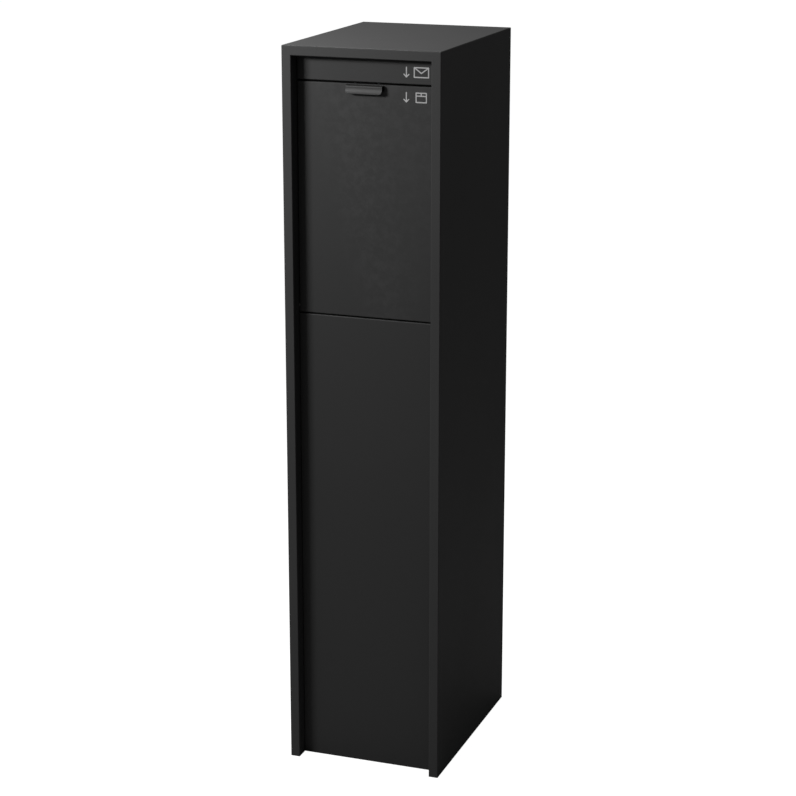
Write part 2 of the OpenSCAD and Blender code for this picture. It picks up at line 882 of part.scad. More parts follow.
module hopper_edge_seal() {
    t = sheet_t;
    grip = 6;
    wall = 1.5;
    side_clear = 1;
    color(rubber)
        on_hopper_floor()
            difference() {
                block([-cheek_inner_x + side_clear, floor_end - grip, floor_lift - t - wall],
                    [cheek_inner_x - side_clear, hopper_r, floor_lift + wall]);
                block([-cheek_inner_x, floor_end - grip - through, floor_lift - t],
                    [cheek_inner_x, floor_end, floor_lift]);
            }
}

module hopper_rivets() {
    color(bright_metal)
        both_sides() {
            for (i = [0 : door_rivets - 1]) {
                bar_x(rivet_r, cheek_inner_x, door_x, door_rivet_y, door_rivet_z(i));
                bar_x(rivet_head_r, cheek_inner_x - rivet_head_h, cheek_inner_x,
                    door_rivet_y, door_rivet_z(i));
            }
            on_hopper_floor()
                for (i = [0 : floor_rivets - 1]) {
                    bar_x(rivet_r, cheek_inner_x - sheet_t, cheek_outer_x, floor_rivet_at(i), flange_rivet_z);
                    bar_x(rivet_head_r, cheek_inner_x - sheet_t - rivet_head_h, cheek_inner_x - sheet_t,
                        floor_rivet_at(i), flange_rivet_z);
                }
        }
}

module hopper_stop_lugs() {
    color(bright_metal)
        both_sides()
            on_hopper_floor()
                rotate([lug_angle, 0, 0])
                    bar_x(lug_r, cheek_outer_x, lug_x, lug_radius, 0);
}

module rear_door() {
    color(coat)
        difference() {
            mirror([0, 1, 0])
                tray(rear_door_x, rear_door_low_z, rear_door_high_z, -rear_door_y, rear_fold);
            bar_z(pivot_r + pin_clearance, rear_door_low_z - through, rear_door_high_z + through,
                rear_axis_x, rear_axis_y);
            bar_y(lock_r + pin_clearance, rear_door_inner_y, rear_door_y + through, lock_x, lock_z);
        }
}

module rear_door_stiffener() {
    half = 30;
    depth = 12;
    flange = 14;
    end_gap = 40;
    y = rear_door_y - sheet_t - sheet_t / 2;
    color(coat)
        translate([0, 0, rear_door_low_z + end_gap])
            linear_extrude(height = rear_door_high_z - rear_door_low_z - 2 * end_gap)
                folded_strip([[-half - flange, y], [-half, y], [-half, y - depth], [half, y - depth],
                    [half, y], [half + flange, y]], sheet_t, bend_r);
}

module rear_hinge_plates() {
    inner_y = rear_door_y - sheet_t;
    plate_d = 13;
    side_reach = 22;
    color(zinc)
        for (z = [rear_door_low_z + sheet_t, rear_door_high_z - sheet_t - hinge_plate_t])
            difference() {
                block([-rear_door_x + sheet_t, inner_y - plate_d, z],
                    [rear_axis_x + side_reach, inner_y, z + hinge_plate_t]);
                bar_z(pivot_r + pin_clearance, z - through, z + hinge_plate_t + through,
                    rear_axis_x, rear_axis_y);
            }
}

module lock_housing() {
    color(bright_metal)
        difference() {
            union() {
                bar_y(lock_r, lock_barrel_end_y, rear_door_y + lock_flange_t, lock_x, lock_z);
                bar_y(lock_r + lock_flange_lip, rear_door_y, rear_door_y + lock_flange_t, lock_x, lock_z);
            }
            bar_y(lock_plug_r + pin_clearance, lock_barrel_end_y - through,
                rear_door_y + lock_flange_t + through, lock_x, lock_z);
        }
}

module lock_nut() {
    nut_t = 4;
    nut_r = lock_r + 3.5;
    inner_y = rear_door_y - sheet_t;
    color(bright_metal)
        difference() {
            translate([lock_x, inner_y, lock_z])
                rotate([90, 0, 0])
                    cylinder(r = nut_r, h = nut_t, $fn = 6);
            bar_y(lock_r + pin_clearance, inner_y - nut_t - through, inner_y + through, lock_x, lock_z);
        }
}

module lock_plug() {
    face_y = rear_door_y + lock_flange_t + 0.3;
    color(bright_metal)
        difference() {
            bar_y(lock_plug_r, lock_plug_end_y, face_y, lock_x, lock_z);
            block([lock_x - keyway_w / 2, face_y - keyway_d, lock_z - keyway_h / 2],
                [lock_x + keyway_w / 2, face_y + through, lock_z + keyway_h / 2]);
            bar_y(screw_r + pin_clearance, lock_plug_end_y - through, lock_plug_end_y + 6, lock_x, lock_z);
        }
}

module lock_cam() {
    color(zinc)
        difference() {
            union() {
                bar_y(lock_r, lock_plug_end_y - cam_t, lock_plug_end_y, lock_x, lock_z);
                block([lock_x - cam_w / 2, lock_plug_end_y - cam_t, lock_z],
                    [lock_x + cam_w / 2, lock_plug_end_y, lock_z + cam_reach]);
            }
            bar_y(screw_r + pin_clearance, lock_plug_end_y - cam_t - through, lock_plug_end_y + through,
                lock_x, lock_z);
        }
}

module lock_cam_screw() {
    head_y = lock_plug_end_y - cam_t;
    reach = 5;
    color(bright_metal) {
        bar_y(screw_r, head_y, lock_plug_end_y + reach, lock_x, lock_z);
        bar_y(screw_head_r, head_y - screw_head_h, head_y, lock_x, lock_z);
    }
}

left_side_panel();
right_side_panel();
top_panel();
base_plate();
rear_sill();
lower_front_panel();
lower_panel_screws();
front_cross_rail();
letter_sill_rail();
letter_chute();
chute_rivets();
flap_stop_strip();
flap_hinge_plates();
flap_hinge_rod();
flap_rod_clips();
parcel_hinge_plates();
parcel_hinge_pins();
parcel_door_bumpers();
hopper_stop_brackets();
hopper_stop_pads();
rear_pivot_plates();
rear_pivot_pins();
rear_stop_strips();
rear_door_seal();
letter_flap();
flap_knuckles();
flap_return_spring();
letter_pictogram();
parcel_door();
pull_tab();
pull_tab_rivets();
left_hopper_cheek();
right_hopper_cheek();
hopper_floor();
hopper_edge_seal();
hopper_rivets();
hopper_stop_lugs();
parcel_pictogram();
rear_door();
rear_door_stiffener();
rear_hinge_plates();
lock_housing();
lock_nut();
lock_plug();
lock_cam();
lock_cam_screw();
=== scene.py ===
"""Looks of a free-standing letter and parcel box of folded, powder-coated sheet steel."""
import json
import math

import bmesh
import bpy
from mathutils import Matrix, Vector


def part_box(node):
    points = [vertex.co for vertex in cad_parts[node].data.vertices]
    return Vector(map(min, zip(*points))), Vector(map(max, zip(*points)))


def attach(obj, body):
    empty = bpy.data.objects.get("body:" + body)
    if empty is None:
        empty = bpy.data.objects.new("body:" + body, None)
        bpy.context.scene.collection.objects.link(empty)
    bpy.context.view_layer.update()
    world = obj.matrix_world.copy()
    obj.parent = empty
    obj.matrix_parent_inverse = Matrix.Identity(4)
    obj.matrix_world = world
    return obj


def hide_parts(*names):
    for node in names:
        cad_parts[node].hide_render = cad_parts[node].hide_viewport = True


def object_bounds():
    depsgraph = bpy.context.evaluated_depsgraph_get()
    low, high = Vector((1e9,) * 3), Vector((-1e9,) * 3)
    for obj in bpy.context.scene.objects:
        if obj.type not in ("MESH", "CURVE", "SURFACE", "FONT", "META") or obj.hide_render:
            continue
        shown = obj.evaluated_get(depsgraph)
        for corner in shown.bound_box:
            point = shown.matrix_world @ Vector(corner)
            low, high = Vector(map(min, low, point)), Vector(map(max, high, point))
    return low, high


bl_info = {
    "name": "Letter and Parcel Box",
    "version": (1, 0, 0),
    "blender": (4, 5, 0),
    "location": "3D View > Sidebar > Letter Box",
    "description": "Builds the finished surfaces of a letter and parcel box round its packed frame",
    "category": "Object",
}

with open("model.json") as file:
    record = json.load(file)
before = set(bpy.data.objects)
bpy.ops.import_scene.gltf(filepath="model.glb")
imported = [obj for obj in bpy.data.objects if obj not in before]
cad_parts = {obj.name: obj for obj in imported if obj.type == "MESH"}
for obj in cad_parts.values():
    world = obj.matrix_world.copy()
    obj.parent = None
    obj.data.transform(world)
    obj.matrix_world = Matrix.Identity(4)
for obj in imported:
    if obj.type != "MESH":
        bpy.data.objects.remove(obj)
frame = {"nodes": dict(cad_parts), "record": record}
CAD_LOW, CAD_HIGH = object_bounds()
MM = 0.001

# Bodies of the frame
CABINET = "cabinet"
FLAP = "letter_flap_body"
DOOR = "parcel_door_body"

# Sizes read from the frame, in metres
WALL_LOW, WALL_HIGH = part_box("left_side_panel")
CHEEK_LOW, CHEEK_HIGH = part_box("right_hopper_cheek")
SHEET = CHEEK_HIGH.x - CHEEK_LOW.x
FRAME_W = WALL_HIGH.x - WALL_LOW.x
REAR_JAMB_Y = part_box("rear_stop_strips")[1].y

# A flat face narrower than this is the cut rim of the sheet
RIM_LIMIT = 1.4 * SHEET
# How far a cutting box goes past what it cuts
BEYOND = 10 * MM
# Folds, slots and bends that no box in the frame gives
FRONT_JAMB_DEPTH = 50 * MM
TAB_SLOT_TOP, TAB_SLOT_BOTTOM = 2 * MM, 11.5 * MM
TAB_SLOT_PLAY = 1 * MM
DOOR_LIP_HEIGHT = 16 * MM
TAB_THICKNESS = 2 * MM
TAB_NECK = 7.6 * MM
TAB_BEND_DROP = 3 * MM
TAB_BEND_RADIUS = 2.5 * MM
TAB_LIP_RISE = 3.5 * MM
TAB_CORNER = 7 * MM
SPRING_WIRE_RADIUS = 0.6 * MM
SPRING_PITCH = 1.35 * MM
SPRING_LEG_BEND = 1.2 * MM

# Head radius, head height and shank radius of each kind of fastener
PANEL_SCREW = (3.5 * MM, 2.2 * MM, 2 * MM)
POP_RIVET = (3 * MM, 1 * MM, 1.6 * MM)
FLAT_RIVET = (2.6 * MM, 0.6 * MM, 1.6 * MM)

# Proportions of the pictograms, as shares of their height
STROKE_HALF = 0.054
ARROW_PLACE = 0.3
ARROW_WING = 0.24
ENVELOPE_WIDTH = 1.51
ENVELOPE_DIP = 0.42
CARTON_WIDTH = 1.14
CARTON_LID = 0.68

# Soft lights: their places from the middle of the box's top, and their sizes, in metres
KEY_PLACE, KEY_SIZE = Vector((-1.25, -1.5, 0.48)), (0.62, 0.32)
TOP_PLACE, TOP_SIZE = Vector((-0.8, 0.2, 1.2)), (1.2, 1.2)
# How far before the box's middle the key light aims, and how high as a share of the box
KEY_AIM_Y, KEY_AIM_SHARE = -0.2, 0.3


class BoxFinish(bpy.types.PropertyGroup):
    """Sizes of the finish that a user may change."""
    bend_radius: bpy.props.FloatProperty(
        name="Bend radius", description="Outer radius of the folded edges",
        default=1.4 * MM, min=0.2 * MM, max=3 * MM, unit="LENGTH")
    rim_radius: bpy.props.FloatProperty(
        name="Rim radius", description="Rounding of the cut edges of the sheet",
        default=0.35 * MM, min=0.05 * MM, max=0.7 * MM, unit="LENGTH")
    grain_size: bpy.props.FloatProperty(
        name="Coat grain", description="Size of the powder coat's fine texture",
        default=0.9 * MM, min=0.2 * MM, max=4 * MM, unit="LENGTH")
    coat_colour: bpy.props.FloatVectorProperty(
        name="Coat", description="Colour of the powder coat",
        default=(0.027, 0.027, 0.027), min=0, max=1, subtype="COLOR")
    print_colour: bpy.props.FloatVectorProperty(
        name="Print", description="Colour of the printed pictograms",
        default=(0.50, 0.50, 0.50), min=0, max=1, subtype="COLOR")
    zinc_colour: bpy.props.FloatVectorProperty(
        name="Zinc", description="Colour of the zinc-plated inner parts",
        default=(0.50, 0.52, 0.54), min=0, max=1, subtype="COLOR")
    rubber_colour: bpy.props.FloatVectorProperty(
        name="Rubber", description="Colour of the seals, pads and bumpers",
        default=(0.016, 0.016, 0.017), min=0, max=1, subtype="COLOR")


class BoxStage(bpy.types.PropertyGroup):
    """Camera and lights that a user may change."""
    camera_azimuth: bpy.props.FloatProperty(
        name="Azimuth", description="How far the camera stands round to the right",
        default=math.radians(19.935), subtype="ANGLE")
    camera_elevation: bpy.props.FloatProperty(
        name="Elevation", description="How far the camera looks down",
        default=math.radians(15.727), subtype="ANGLE")
    camera_distance: bpy.props.FloatProperty(
        name="Distance", description="From the camera to the point it looks at",
        default=4.254, unit="LENGTH")
    camera_aim: bpy.props.FloatVectorProperty(
        name="Aim", description="From the middle of the box to the point the camera looks at",
        default=(-4.7 * MM, 2.5 * MM, -6.2 * MM), subtype="TRANSLATION", unit="LENGTH")
    lens: bpy.props.FloatProperty(
        name="Lens", description="Focal length in millimetres", default=100.19)
    key_power: bpy.props.FloatProperty(
        name="Key light", description="Power of the soft light at the front left in watts", default=34.5)
    top_power: bpy.props.FloatProperty(
        name="Top light", description="Power of the soft light overhead in watts", default=25)
    fill: bpy.props.FloatProperty(
        name="Fill", description="Brightness of the surroundings on the object", default=0.163)


# ---- shader node groups

def new_group(name, inputs, outputs):
    """An empty shader group with its named sockets, and its input and output nodes."""
    group = bpy.data.node_groups.new(name, "ShaderNodeTree")
    for label, kind, value in inputs:
        socket = group.interface.new_socket(label, in_out="INPUT", socket_type=kind)
        if value is not None:
            socket.default_value = value
    for label, kind in outputs:
        group.interface.new_socket(label, in_out="OUTPUT", socket_type=kind)
    return group, group.nodes.new("NodeGroupInput"), group.nodes.new("NodeGroupOutput")


def add_node(tree, kind, **values):
    """A node of a kind in tree, with its inputs set by name to sockets or plain values."""
    node = tree.nodes.new(kind)
    for name, value in values.items():
        socket = node.inputs[name.replace("_", " ").title()]
        if isinstance(value, bpy.types.NodeSocket):
            tree.links.new(value, socket)
        else:
            socket.default_value = value
    return node


def add_math(tree, operation, *numbers, clamp=False):
    """A Math node; each number is a socket or a plain value."""
    node = tree.nodes.new("ShaderNodeMath")
    node.operation = operation
    node.use_clamp = clamp
    for socket, value in zip(node.inputs, numbers):
        if isinstance(value, bpy.types.NodeSocket):
            tree.links.new(value, socket)
        else:
            socket.default_value = value
    return node.outputs[0]


def shader_noise(tree, vector, scale, detail=3.0, roughness=0.5):
    """A noise texture on vector; scale is a socket or a number of waves per metre."""
    noise = add_node(tree, "ShaderNodeTexNoise", vector=vector, scale=scale, detail=detail,
                     roughness=roughness)
    return noise.outputs["Fac"]


def shader_range(tree, value, low, high, new_low, new_high):
    """A value moved from one range to another."""
    node = add_node(tree, "ShaderNodeMapRange", value=value, from_min=low, from_max=high,
                    to_min=new_low, to_max=new_high)
    return node.outputs["Result"]


def lay_over(tree, shader, mask, colour):
    """Covers the shader's base colour with another where the mask is high."""
    base = shader.inputs["Base Color"]
    node = tree.nodes.new("ShaderNodeMix")
    node.data_type = "RGBA"
    factor, under, over = node.inputs[0], node.inputs[6], node.inputs[7]
    tree.links.new(mask, factor)
    tree.links.new(base.links[0].from_socket, under)
    over.default_value = (*colour, 1.0)
    tree.links.new(node.outputs[2], base)


def mottle_group():
    """Slow cloudy change over the surface, as uneven spraying leaves: a value round 1."""
    group, start, end = new_group(
        "Mottle", [("Vector", "NodeSocketVector", None), ("Scale", "NodeSocketFloat", 6.0),
                   ("Amount", "NodeSocketFloat", 0.1)], [("Value", "NodeSocketFloat")])
    cloud = shader_noise(group, start.outputs["Vector"], start.outputs["Scale"], 4.0)
    centred = add_math(group, "SUBTRACT", cloud, 0.5)
    swing = add_math(group, "MULTIPLY", centred, start.outputs["Amount"])
    group.links.new(add_math(group, "MULTIPLY_ADD", swing, 2.0, 1.0), end.inputs["Value"])


def mask_group(name, make_first, make_second):
    """A group whose mask is the product of two masks and an amount."""
    group, start, end = new_group(
        name, [("Vector", "NodeSocketVector", None), ("Amount", "NodeSocketFloat", 0.5)],
        [("Mask", "NodeSocketFloat")])
    place = start.outputs["Vector"]
    both = add_math(group, "MULTIPLY", make_first(group), make_second(group, place))
    group.links.new(add_math(group, "MULTIPLY", both, start.outputs["Amount"], clamp=True),
                    end.inputs["Mask"])


def edge_wear_group():
    """Mask of worn edges: high on sharp outer edges, broken up by noise."""
    def edges(group):
        geometry = group.nodes.new("ShaderNodeNewGeometry")
        return shader_range(group, geometry.outputs["Pointiness"], 0.52, 0.62, 0.0, 1.0)

    def breaks(group, place):
        return shader_range(group, shader_noise(group, place, 60.0, 6.0, 0.7), 0.42, 0.62, 0.0, 1.0)

    mask_group("Edge Wear", edges, breaks)


def dust_group():
    """Mask of fine dust: on faces that look up, in soft patches and specks."""
    def upward_faces(group):
        geometry = group.nodes.new("ShaderNodeNewGeometry")
        parts = add_node(group, "ShaderNodeSeparateXYZ", vector=geometry.outputs["Normal"])
        return shader_range(group, parts.outputs["Z"], 0.3, 1.0, 0.12, 1.0)

    def patches(group, place):
        return shader_range(group, shader_noise(group, place, 14.0, 8.0, 0.65), 0.35, 0.75, 0.2, 1.0)

    mask_group("Dust", upward_faces, patches)


def grain_group():
    """Height of a sprayed surface: fine grain over a soft orange peel."""
    group, start, end = new_group(
        "Coat Grain", [("Vector", "NodeSocketVector", None), ("Grain Scale", "NodeSocketFloat", 1000.0),
                       ("Peel Scale", "NodeSocketFloat", 220.0)], [("Height", "NodeSocketFloat")])
    fine = shader_noise(group, start.outputs["Vector"], start.outputs["Grain Scale"], 2.0, 0.6)
    peel = shader_noise(group, start.outputs["Vector"], start.outputs["Peel Scale"], 1.0, 0.4)
    group.links.new(add_math(group, "ADD", fine, peel), end.inputs["Height"])


def brushed_group():
    """Fine lines along one direction of the surface, as rolling and brushing leave."""
    group, start, end = new_group(
        "Brushed Lines", [("Vector", "NodeSocketVector", None), ("Scale", "NodeSocketFloat", 900.0)],
        [("Value", "NodeSocketFloat")])
    stretch = group.nodes.new("ShaderNodeVectorMath")
    stretch.operation = "MULTIPLY"
    group.links.new(start.outputs["Vector"], stretch.inputs[0])
    stretch.inputs[1].default_value = (0.03, 1.0, 1.0)
    group.links.new(shader_noise(group, stretch.outputs[0], start.outputs["Scale"], 3.0, 0.6),
                    end.inputs["Value"])


def use_group(tree, name, vector, **values):
    """Places a shader group in tree, reading vector, with its inputs set by name."""
    node = tree.nodes.new("ShaderNodeGroup")
    node.node_tree = bpy.data.node_groups[name]
    tree.links.new(vector, node.inputs["Vector"])
    for label, value in values.items():
        node.inputs[label.replace("_", " ").title()].default_value = value
    return node.outputs[0]


def new_material(name, colour, cloud_scale, cloud_amount, metallic=0.0):
    """A material with object coordinates and a base colour that changes slowly over the surface."""
    material = bpy.data.materials.new(name)
    material.use_nodes = True
    tree = material.node_tree
    shader = tree.nodes["Principled BSDF"]
    shader.inputs["Metallic"].default_value = metallic
    place = tree.nodes.new("ShaderNodeTexCoord").outputs["Object"]
    tint = tree.nodes.new("ShaderNodeVectorMath")
    tint.operation = "SCALE"
    tint.inputs[0].default_value = colour
    cloud = use_group(tree, "Mottle", place, scale=cloud_scale, amount=cloud_amount)
    tree.links.new(cloud, tint.inputs["Scale"])
    tree.links.new(tint.outputs[0], shader.inputs["Base Color"])
    return material, tree, shader, place


def add_bump(tree, shader, height, strength, distance):
    """Bumps the shader's normal by height."""
    bump = add_node(tree, "ShaderNodeBump", strength=strength, distance=distance, height=height)
    tree.links.new(bump.outputs["Normal"], shader.inputs["Normal"])


def vary_roughness(tree, shader, texture, low, high, spread=(0.3, 0.7)):
    """Roughness from low to high as the texture goes over its spread."""
    tree.links.new(shader_range(tree, texture, *spread, low, high), shader.inputs["Roughness"])


def powder_coat(finish, name="powder_coat", shade=1.0, roughness=0.56):
    """Matte fine-textured charcoal powder coat, a little worn and dusty."""
    # A shade below 1 darkens the coat's colour; the recessed front panels use it as painted shade
    colour = [shade * channel for channel in finish.coat_colour]
    material, tree, shader, place = new_material(name, colour, 3.0, 0.04)
    lay_over(tree, shader, use_group(tree, "Edge Wear", place, amount=0.15), (0.08, 0.08, 0.08))
    lay_over(tree, shader, use_group(tree, "Dust", place, amount=0.006), (0.30, 0.29, 0.28))
    sheen = shader_noise(tree, place, 5.0)
    vary_roughness(tree, shader, sheen, roughness - 0.02, roughness + 0.02)
    height = use_group(tree, "Coat Grain", place, grain_scale=1 / finish.grain_size, peel_scale=220.0)
    add_bump(tree, shader, height, 0.35, 0.12 * MM)
    return material


def painted_shade_panel_coat(finish):
    """The coat of the recessed front panels: the cabinet's coat darkened to about two thirds, painted
    shade that stands in for the shade inside the recess.
    """
    return powder_coat(finish, "painted_shade_panel_coat", 0.67)


def handled_coat(finish):
    """The coat of the pull tab, rubbed smoother by fingers."""
    return powder_coat(finish, "handled_coat", 1.0, 0.44)


def printed_ink(finish):
    """Light grey screen print with slightly uneven ink."""
    material, tree, shader, place = new_material("printed_ink", finish.print_colour, 150.0, 0.10)
    pores = shader_noise(tree, place, 900.0, 2.0)
    vary_roughness(tree, shader, pores, 0.55, 0.68)
    add_bump(tree, shader, pores, 0.2, 0.05 * MM)
    return material


def zinc_plate(finish):
    """Zinc-plated sheet: pale, satin, with rolling lines and cloudy patches."""
    material, tree, shader, place = new_material("zinc_plate", finish.zinc_colour, 25.0, 0.16, 1.0)
    lines = use_group(tree, "Brushed Lines", place, scale=900.0)
    vary_roughness(tree, shader, lines, 0.34, 0.50)
    add_bump(tree, shader, lines, 0.15, 0.05 * MM)
    return material


def bright_steel(finish):
    """Plain bright steel of pins, rivets and screws."""
    material, tree, shader, place = new_material("bright_steel", (0.62, 0.62, 0.64), 120.0, 0.10, 1.0)
    lines = use_group(tree, "Brushed Lines", place, scale=2600.0)
    vary_roughness(tree, shader, lines, 0.20, 0.34)
    add_bump(tree, shader, lines, 0.1, 0.03 * MM)
    return material


def lock_chrome(finish):
    """Polished chrome of the lock, with faint handling marks."""
    material, tree, shader, place = new_material("lock_chrome", (0.78, 0.78, 0.80), 90.0, 0.05, 1.0)
    marks = shader_noise(tree, place, 300.0, 8.0, 0.7)
    vary_roughness(tree, shader, marks, 0.08, 0.22, (0.35, 0.75))
    add_bump(tree, shader, marks, 0.05, 0.02 * MM)
    return material


def moulded_rubber(finish):
    """Matte moulded rubber with fine pores and a little bloom."""
    material, tree, shader, place = new_material("moulded_rubber", finish.rubber_colour, 60.0, 0.25)
    lay_over(tree, shader, use_group(tree, "Dust", place, amount=0.12), (0.20, 0.20, 0.20))
    pores = shader_noise(tree, place, 1400.0)
    vary_roughness(tree, shader, pores, 0.70, 0.85)
    add_bump(tree, shader, pores, 0.3, 0.08 * MM)
    return material


# Which material each of the record's slots gets
SLOT_MATERIAL = {
    "black_coat": powder_coat,
    "zinc_steel": zinc_plate,
    "bright_steel": bright_steel,
    "black_rubber": moulded_rubber,
    "grey_print": printed_ink,
    "lock_chrome": lock_chrome,
}
NODE_SLOT = {part["node"]: part["material_slot"] for part in frame["record"]["subparts"]}
NODE_BODY = {
    node: body for body, nodes in frame["record"]["behaviour"]["bodies"].items() for node in nodes}


def material_for(slot):
    """The finished material of a slot of the record."""
    return bpy.data.materials[SLOT_MATERIAL[slot].__name__]


# ---- mesh helpers

def add_object(name, data):
    """An object for data in the scene."""
    made = bpy.data.objects.new(name, data)
    bpy.context.scene.collection.objects.link(made)
    return made


def settled_mesh(name, holder):
    """The mesh that an object's modifiers make."""
    depsgraph = bpy.context.evaluated_depsgraph_get()
    mesh = bpy.data.meshes.new_from_object(holder.evaluated_get(depsgraph), depsgraph=depsgraph)
    mesh.name = name
    return mesh


def new_piece(name, mesh, slot, body, *replaced, material=None):
    """An object for mesh that rides on body, takes its finish from slot and stands for CAD nodes."""
    piece = add_object(name, mesh)
    mesh.materials.clear()
    mesh.materials.append(material or material_for(slot))
    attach(piece, body)
    if replaced:
        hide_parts(*replaced)
    return piece


def is_sharp(edge):
    """Whether the two faces of an edge meet at a clear angle."""
    return len(edge.link_faces) == 2 and edge.calc_face_angle(0.0) > math.radians(30)


def flat_widths(bm):
    """About how wide the flat region round each face is across its narrow way."""
    widths = {}
    for first in bm.faces:
        if first in widths:
            continue
        region, heap = {first}, [first]
        border = 0.0
        while heap:
            for edge in heap.pop().edges:
                if len(edge.link_faces) != 2 or edge.calc_face_angle(0.0) > math.radians(1):
                    border += edge.calc_length()
                    continue
                for face in edge.link_faces:
                    if face not in region:
                        region.add(face)
                        heap.append(face)
        width = 2 * sum(face.calc_area() for face in region) / max(border, 1e-6)
        widths.update((face, width) for face in region)
    return widths


def weigh_edges(bm, rim_share):
    """Full bevel weight on folded edges, and a small one on edges of the sheet's cut rim."""
    widths = flat_widths(bm)
    layer = bm.edges.layers.float.new("bevel_weight_edge")
    for edge in bm.edges:
        if is_sharp(edge):
            narrowest = min(widths[face] for face in edge.link_faces)
            edge[layer] = 1.0 if narrowest > RIM_LIMIT else rim_share


def mesh_from(bm, name):
    """A smooth-shaded mesh from bm, which is used up."""
    mesh = bpy.data.meshes.new(name)
    bm.to_mesh(mesh)
    bm.free()
    mesh.shade_smooth()
    return mesh


def bent_piece(name, bm, width, rim_share, slot, body, *replaced, segments=3, material=None):
    """A piece from bm with its folds rounded to width and its cut rims to a share of it."""
    weigh_edges(bm, rim_share)
    piece = new_piece(name, mesh_from(bm, name), slot, body, *replaced, material=material)
    bevel = piece.modifiers.new("bends", "BEVEL")
    bevel.limit_method = "WEIGHT"
    bevel.width = width
    bevel.segments = segments
    bevel.use_clamp_overlap = False
    bevel.loop_slide = False
    flat = piece.modifiers.new("flat_faces", "WEIGHTED_NORMAL")
    flat.weight = 100


def merged_copy(node):
    """A copy of a CAD node's mesh with its corners merged."""
    bm = bmesh.new()
    bm.from_mesh(frame["nodes"][node].data)
    bmesh.ops.remove_doubles(bm, verts=bm.verts, dist=0.01 * MM)
    return bm


def finished_copy(node, radius, rim_share):
    """A piece with the CAD node's shape and softened edges, which replaces it."""
    bent_piece(node + "_finished", merged_copy(node), radius, rim_share, NODE_SLOT[node],
               NODE_BODY[node], node)


def solid_from_boxes(added, cut):
    """A closed skin round the boxes in added less those in cut; a box is its two corners."""
    planes = [sorted({round(box[end][axis], 7) for box in added + cut for end in (0, 1)})
              for axis in range(3)]

    def holds(boxes, point):
        return any(all(low[a] < point[a] < high[a] for a in range(3)) for low, high in boxes)

    filled = set()
    for i in range(len(planes[0]) - 1):
        for j in range(len(planes[1]) - 1):
            for k in range(len(planes[2]) - 1):
                cell = (i, j, k)
                middle = [(planes[a][cell[a]] + planes[a][cell[a] + 1]) / 2 for a in range(3)]
                if holds(added, middle) and not holds(cut, middle):
                    filled.add(cell)
    bm = bmesh.new()
    corners = {}

    def corner(index):
        if index not in corners:
            corners[index] = bm.verts.new([planes[a][index[a]] for a in range(3)])
        return corners[index]

    for cell in filled:
        for axis in range(3):
            for side in (0, 1):
                beyond = list(cell)
                beyond[axis] += 2 * side - 1
                if tuple(beyond) in filled:
                    continue
                b, c = (axis + 1) % 3, (axis + 2) % 3
                ring = []
                for step_b, step_c in ((0, 0), (1, 0), (1, 1), (0, 1)):
                    index = list(cell)
                    index[axis] += side
                    index[b] += step_b
                    index[c] += step_c
                    ring.append(corner(tuple(index)))
                bm.faces.new(ring if side else reversed(ring))
    bm.normal_update()
    return bm


# ---- pieces

def build_outer_shell(finish):
    """The side walls and the top as one welded and ground shell, with its front and back frames."""
    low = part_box("left_side_panel")[0]
    high = Vector((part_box("right_side_panel")[1].x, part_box("right_side_panel")[1].y,
                   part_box("top_panel")[1].z))
    under = low.z - BEYOND
    inner_x, inner_z = high.x - FRAME_W, high.z - FRAME_W
    hollow_x, hollow_z = high.x - SHEET, high.z - SHEET
    front_jamb = low.y + FRONT_JAMB_DEPTH
    openings = [
        ((-inner_x, low.y - BEYOND, under), (inner_x, front_jamb, inner_z)),
        ((-inner_x, REAR_JAMB_Y, under), (inner_x, high.y + BEYOND, inner_z)),
        ((low.x + SHEET, front_jamb, under), (hollow_x, REAR_JAMB_Y, hollow_z)),
    ]
    # The hollows of the folded frames: left, right and above each opening
    for front, rear in ((low.y + SHEET, front_jamb), (REAR_JAMB_Y, high.y - SHEET)):
        openings.append(((low.x + SHEET, front, under), (-inner_x - SHEET, rear, hollow_z)))
        openings.append(((inner_x + SHEET, front, under), (hollow_x, rear, hollow_z)))
        openings.append(((low.x + SHEET, front, inner_z + SHEET), (hollow_x, rear, hollow_z)))
    bm = solid_from_boxes([(low, high)], openings)
    bent_piece("outer_shell", bm, finish.bend_radius, finish.rim_radius / finish.bend_radius,
               "black_coat", CABINET, "left_side_panel", "right_side_panel", "top_panel", segments=4)


def tray_boxes(low, high, open_side):
    """A folded tray between two corners, open to the front or the back: its box and its hollow."""
    inner_low = low + Vector((SHEET, 0, SHEET))
    inner_high = high - Vector((SHEET, 0, SHEET))
    if open_side == "back":
        inner_low.y = low.y + SHEET
        inner_high.y = high.y + BEYOND
    else:
        inner_low.y = low.y - BEYOND
        inner_high.y = high.y - SHEET
    return (low, high), (inner_low, inner_high)


def build_tray(name, node, finish, open_side="back", cut=()):
    """A tray of folded sheet in place of a CAD node, with extra boxes cut from it."""
    box, hollow = tray_boxes(*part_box(node), open_side)
    bm = solid_from_boxes([box], [hollow, *cut])
    # Trays open to the back are the recessed front panels, which get the darker coat with painted shade
    coat = bpy.data.materials["painted_shade_panel_coat" if open_side == "back" else "powder_coat"]
    bent_piece(name, bm, finish.bend_radius, finish.rim_radius / finish.bend_radius, "black_coat",
               NODE_BODY[node], node, segments=4, material=coat)


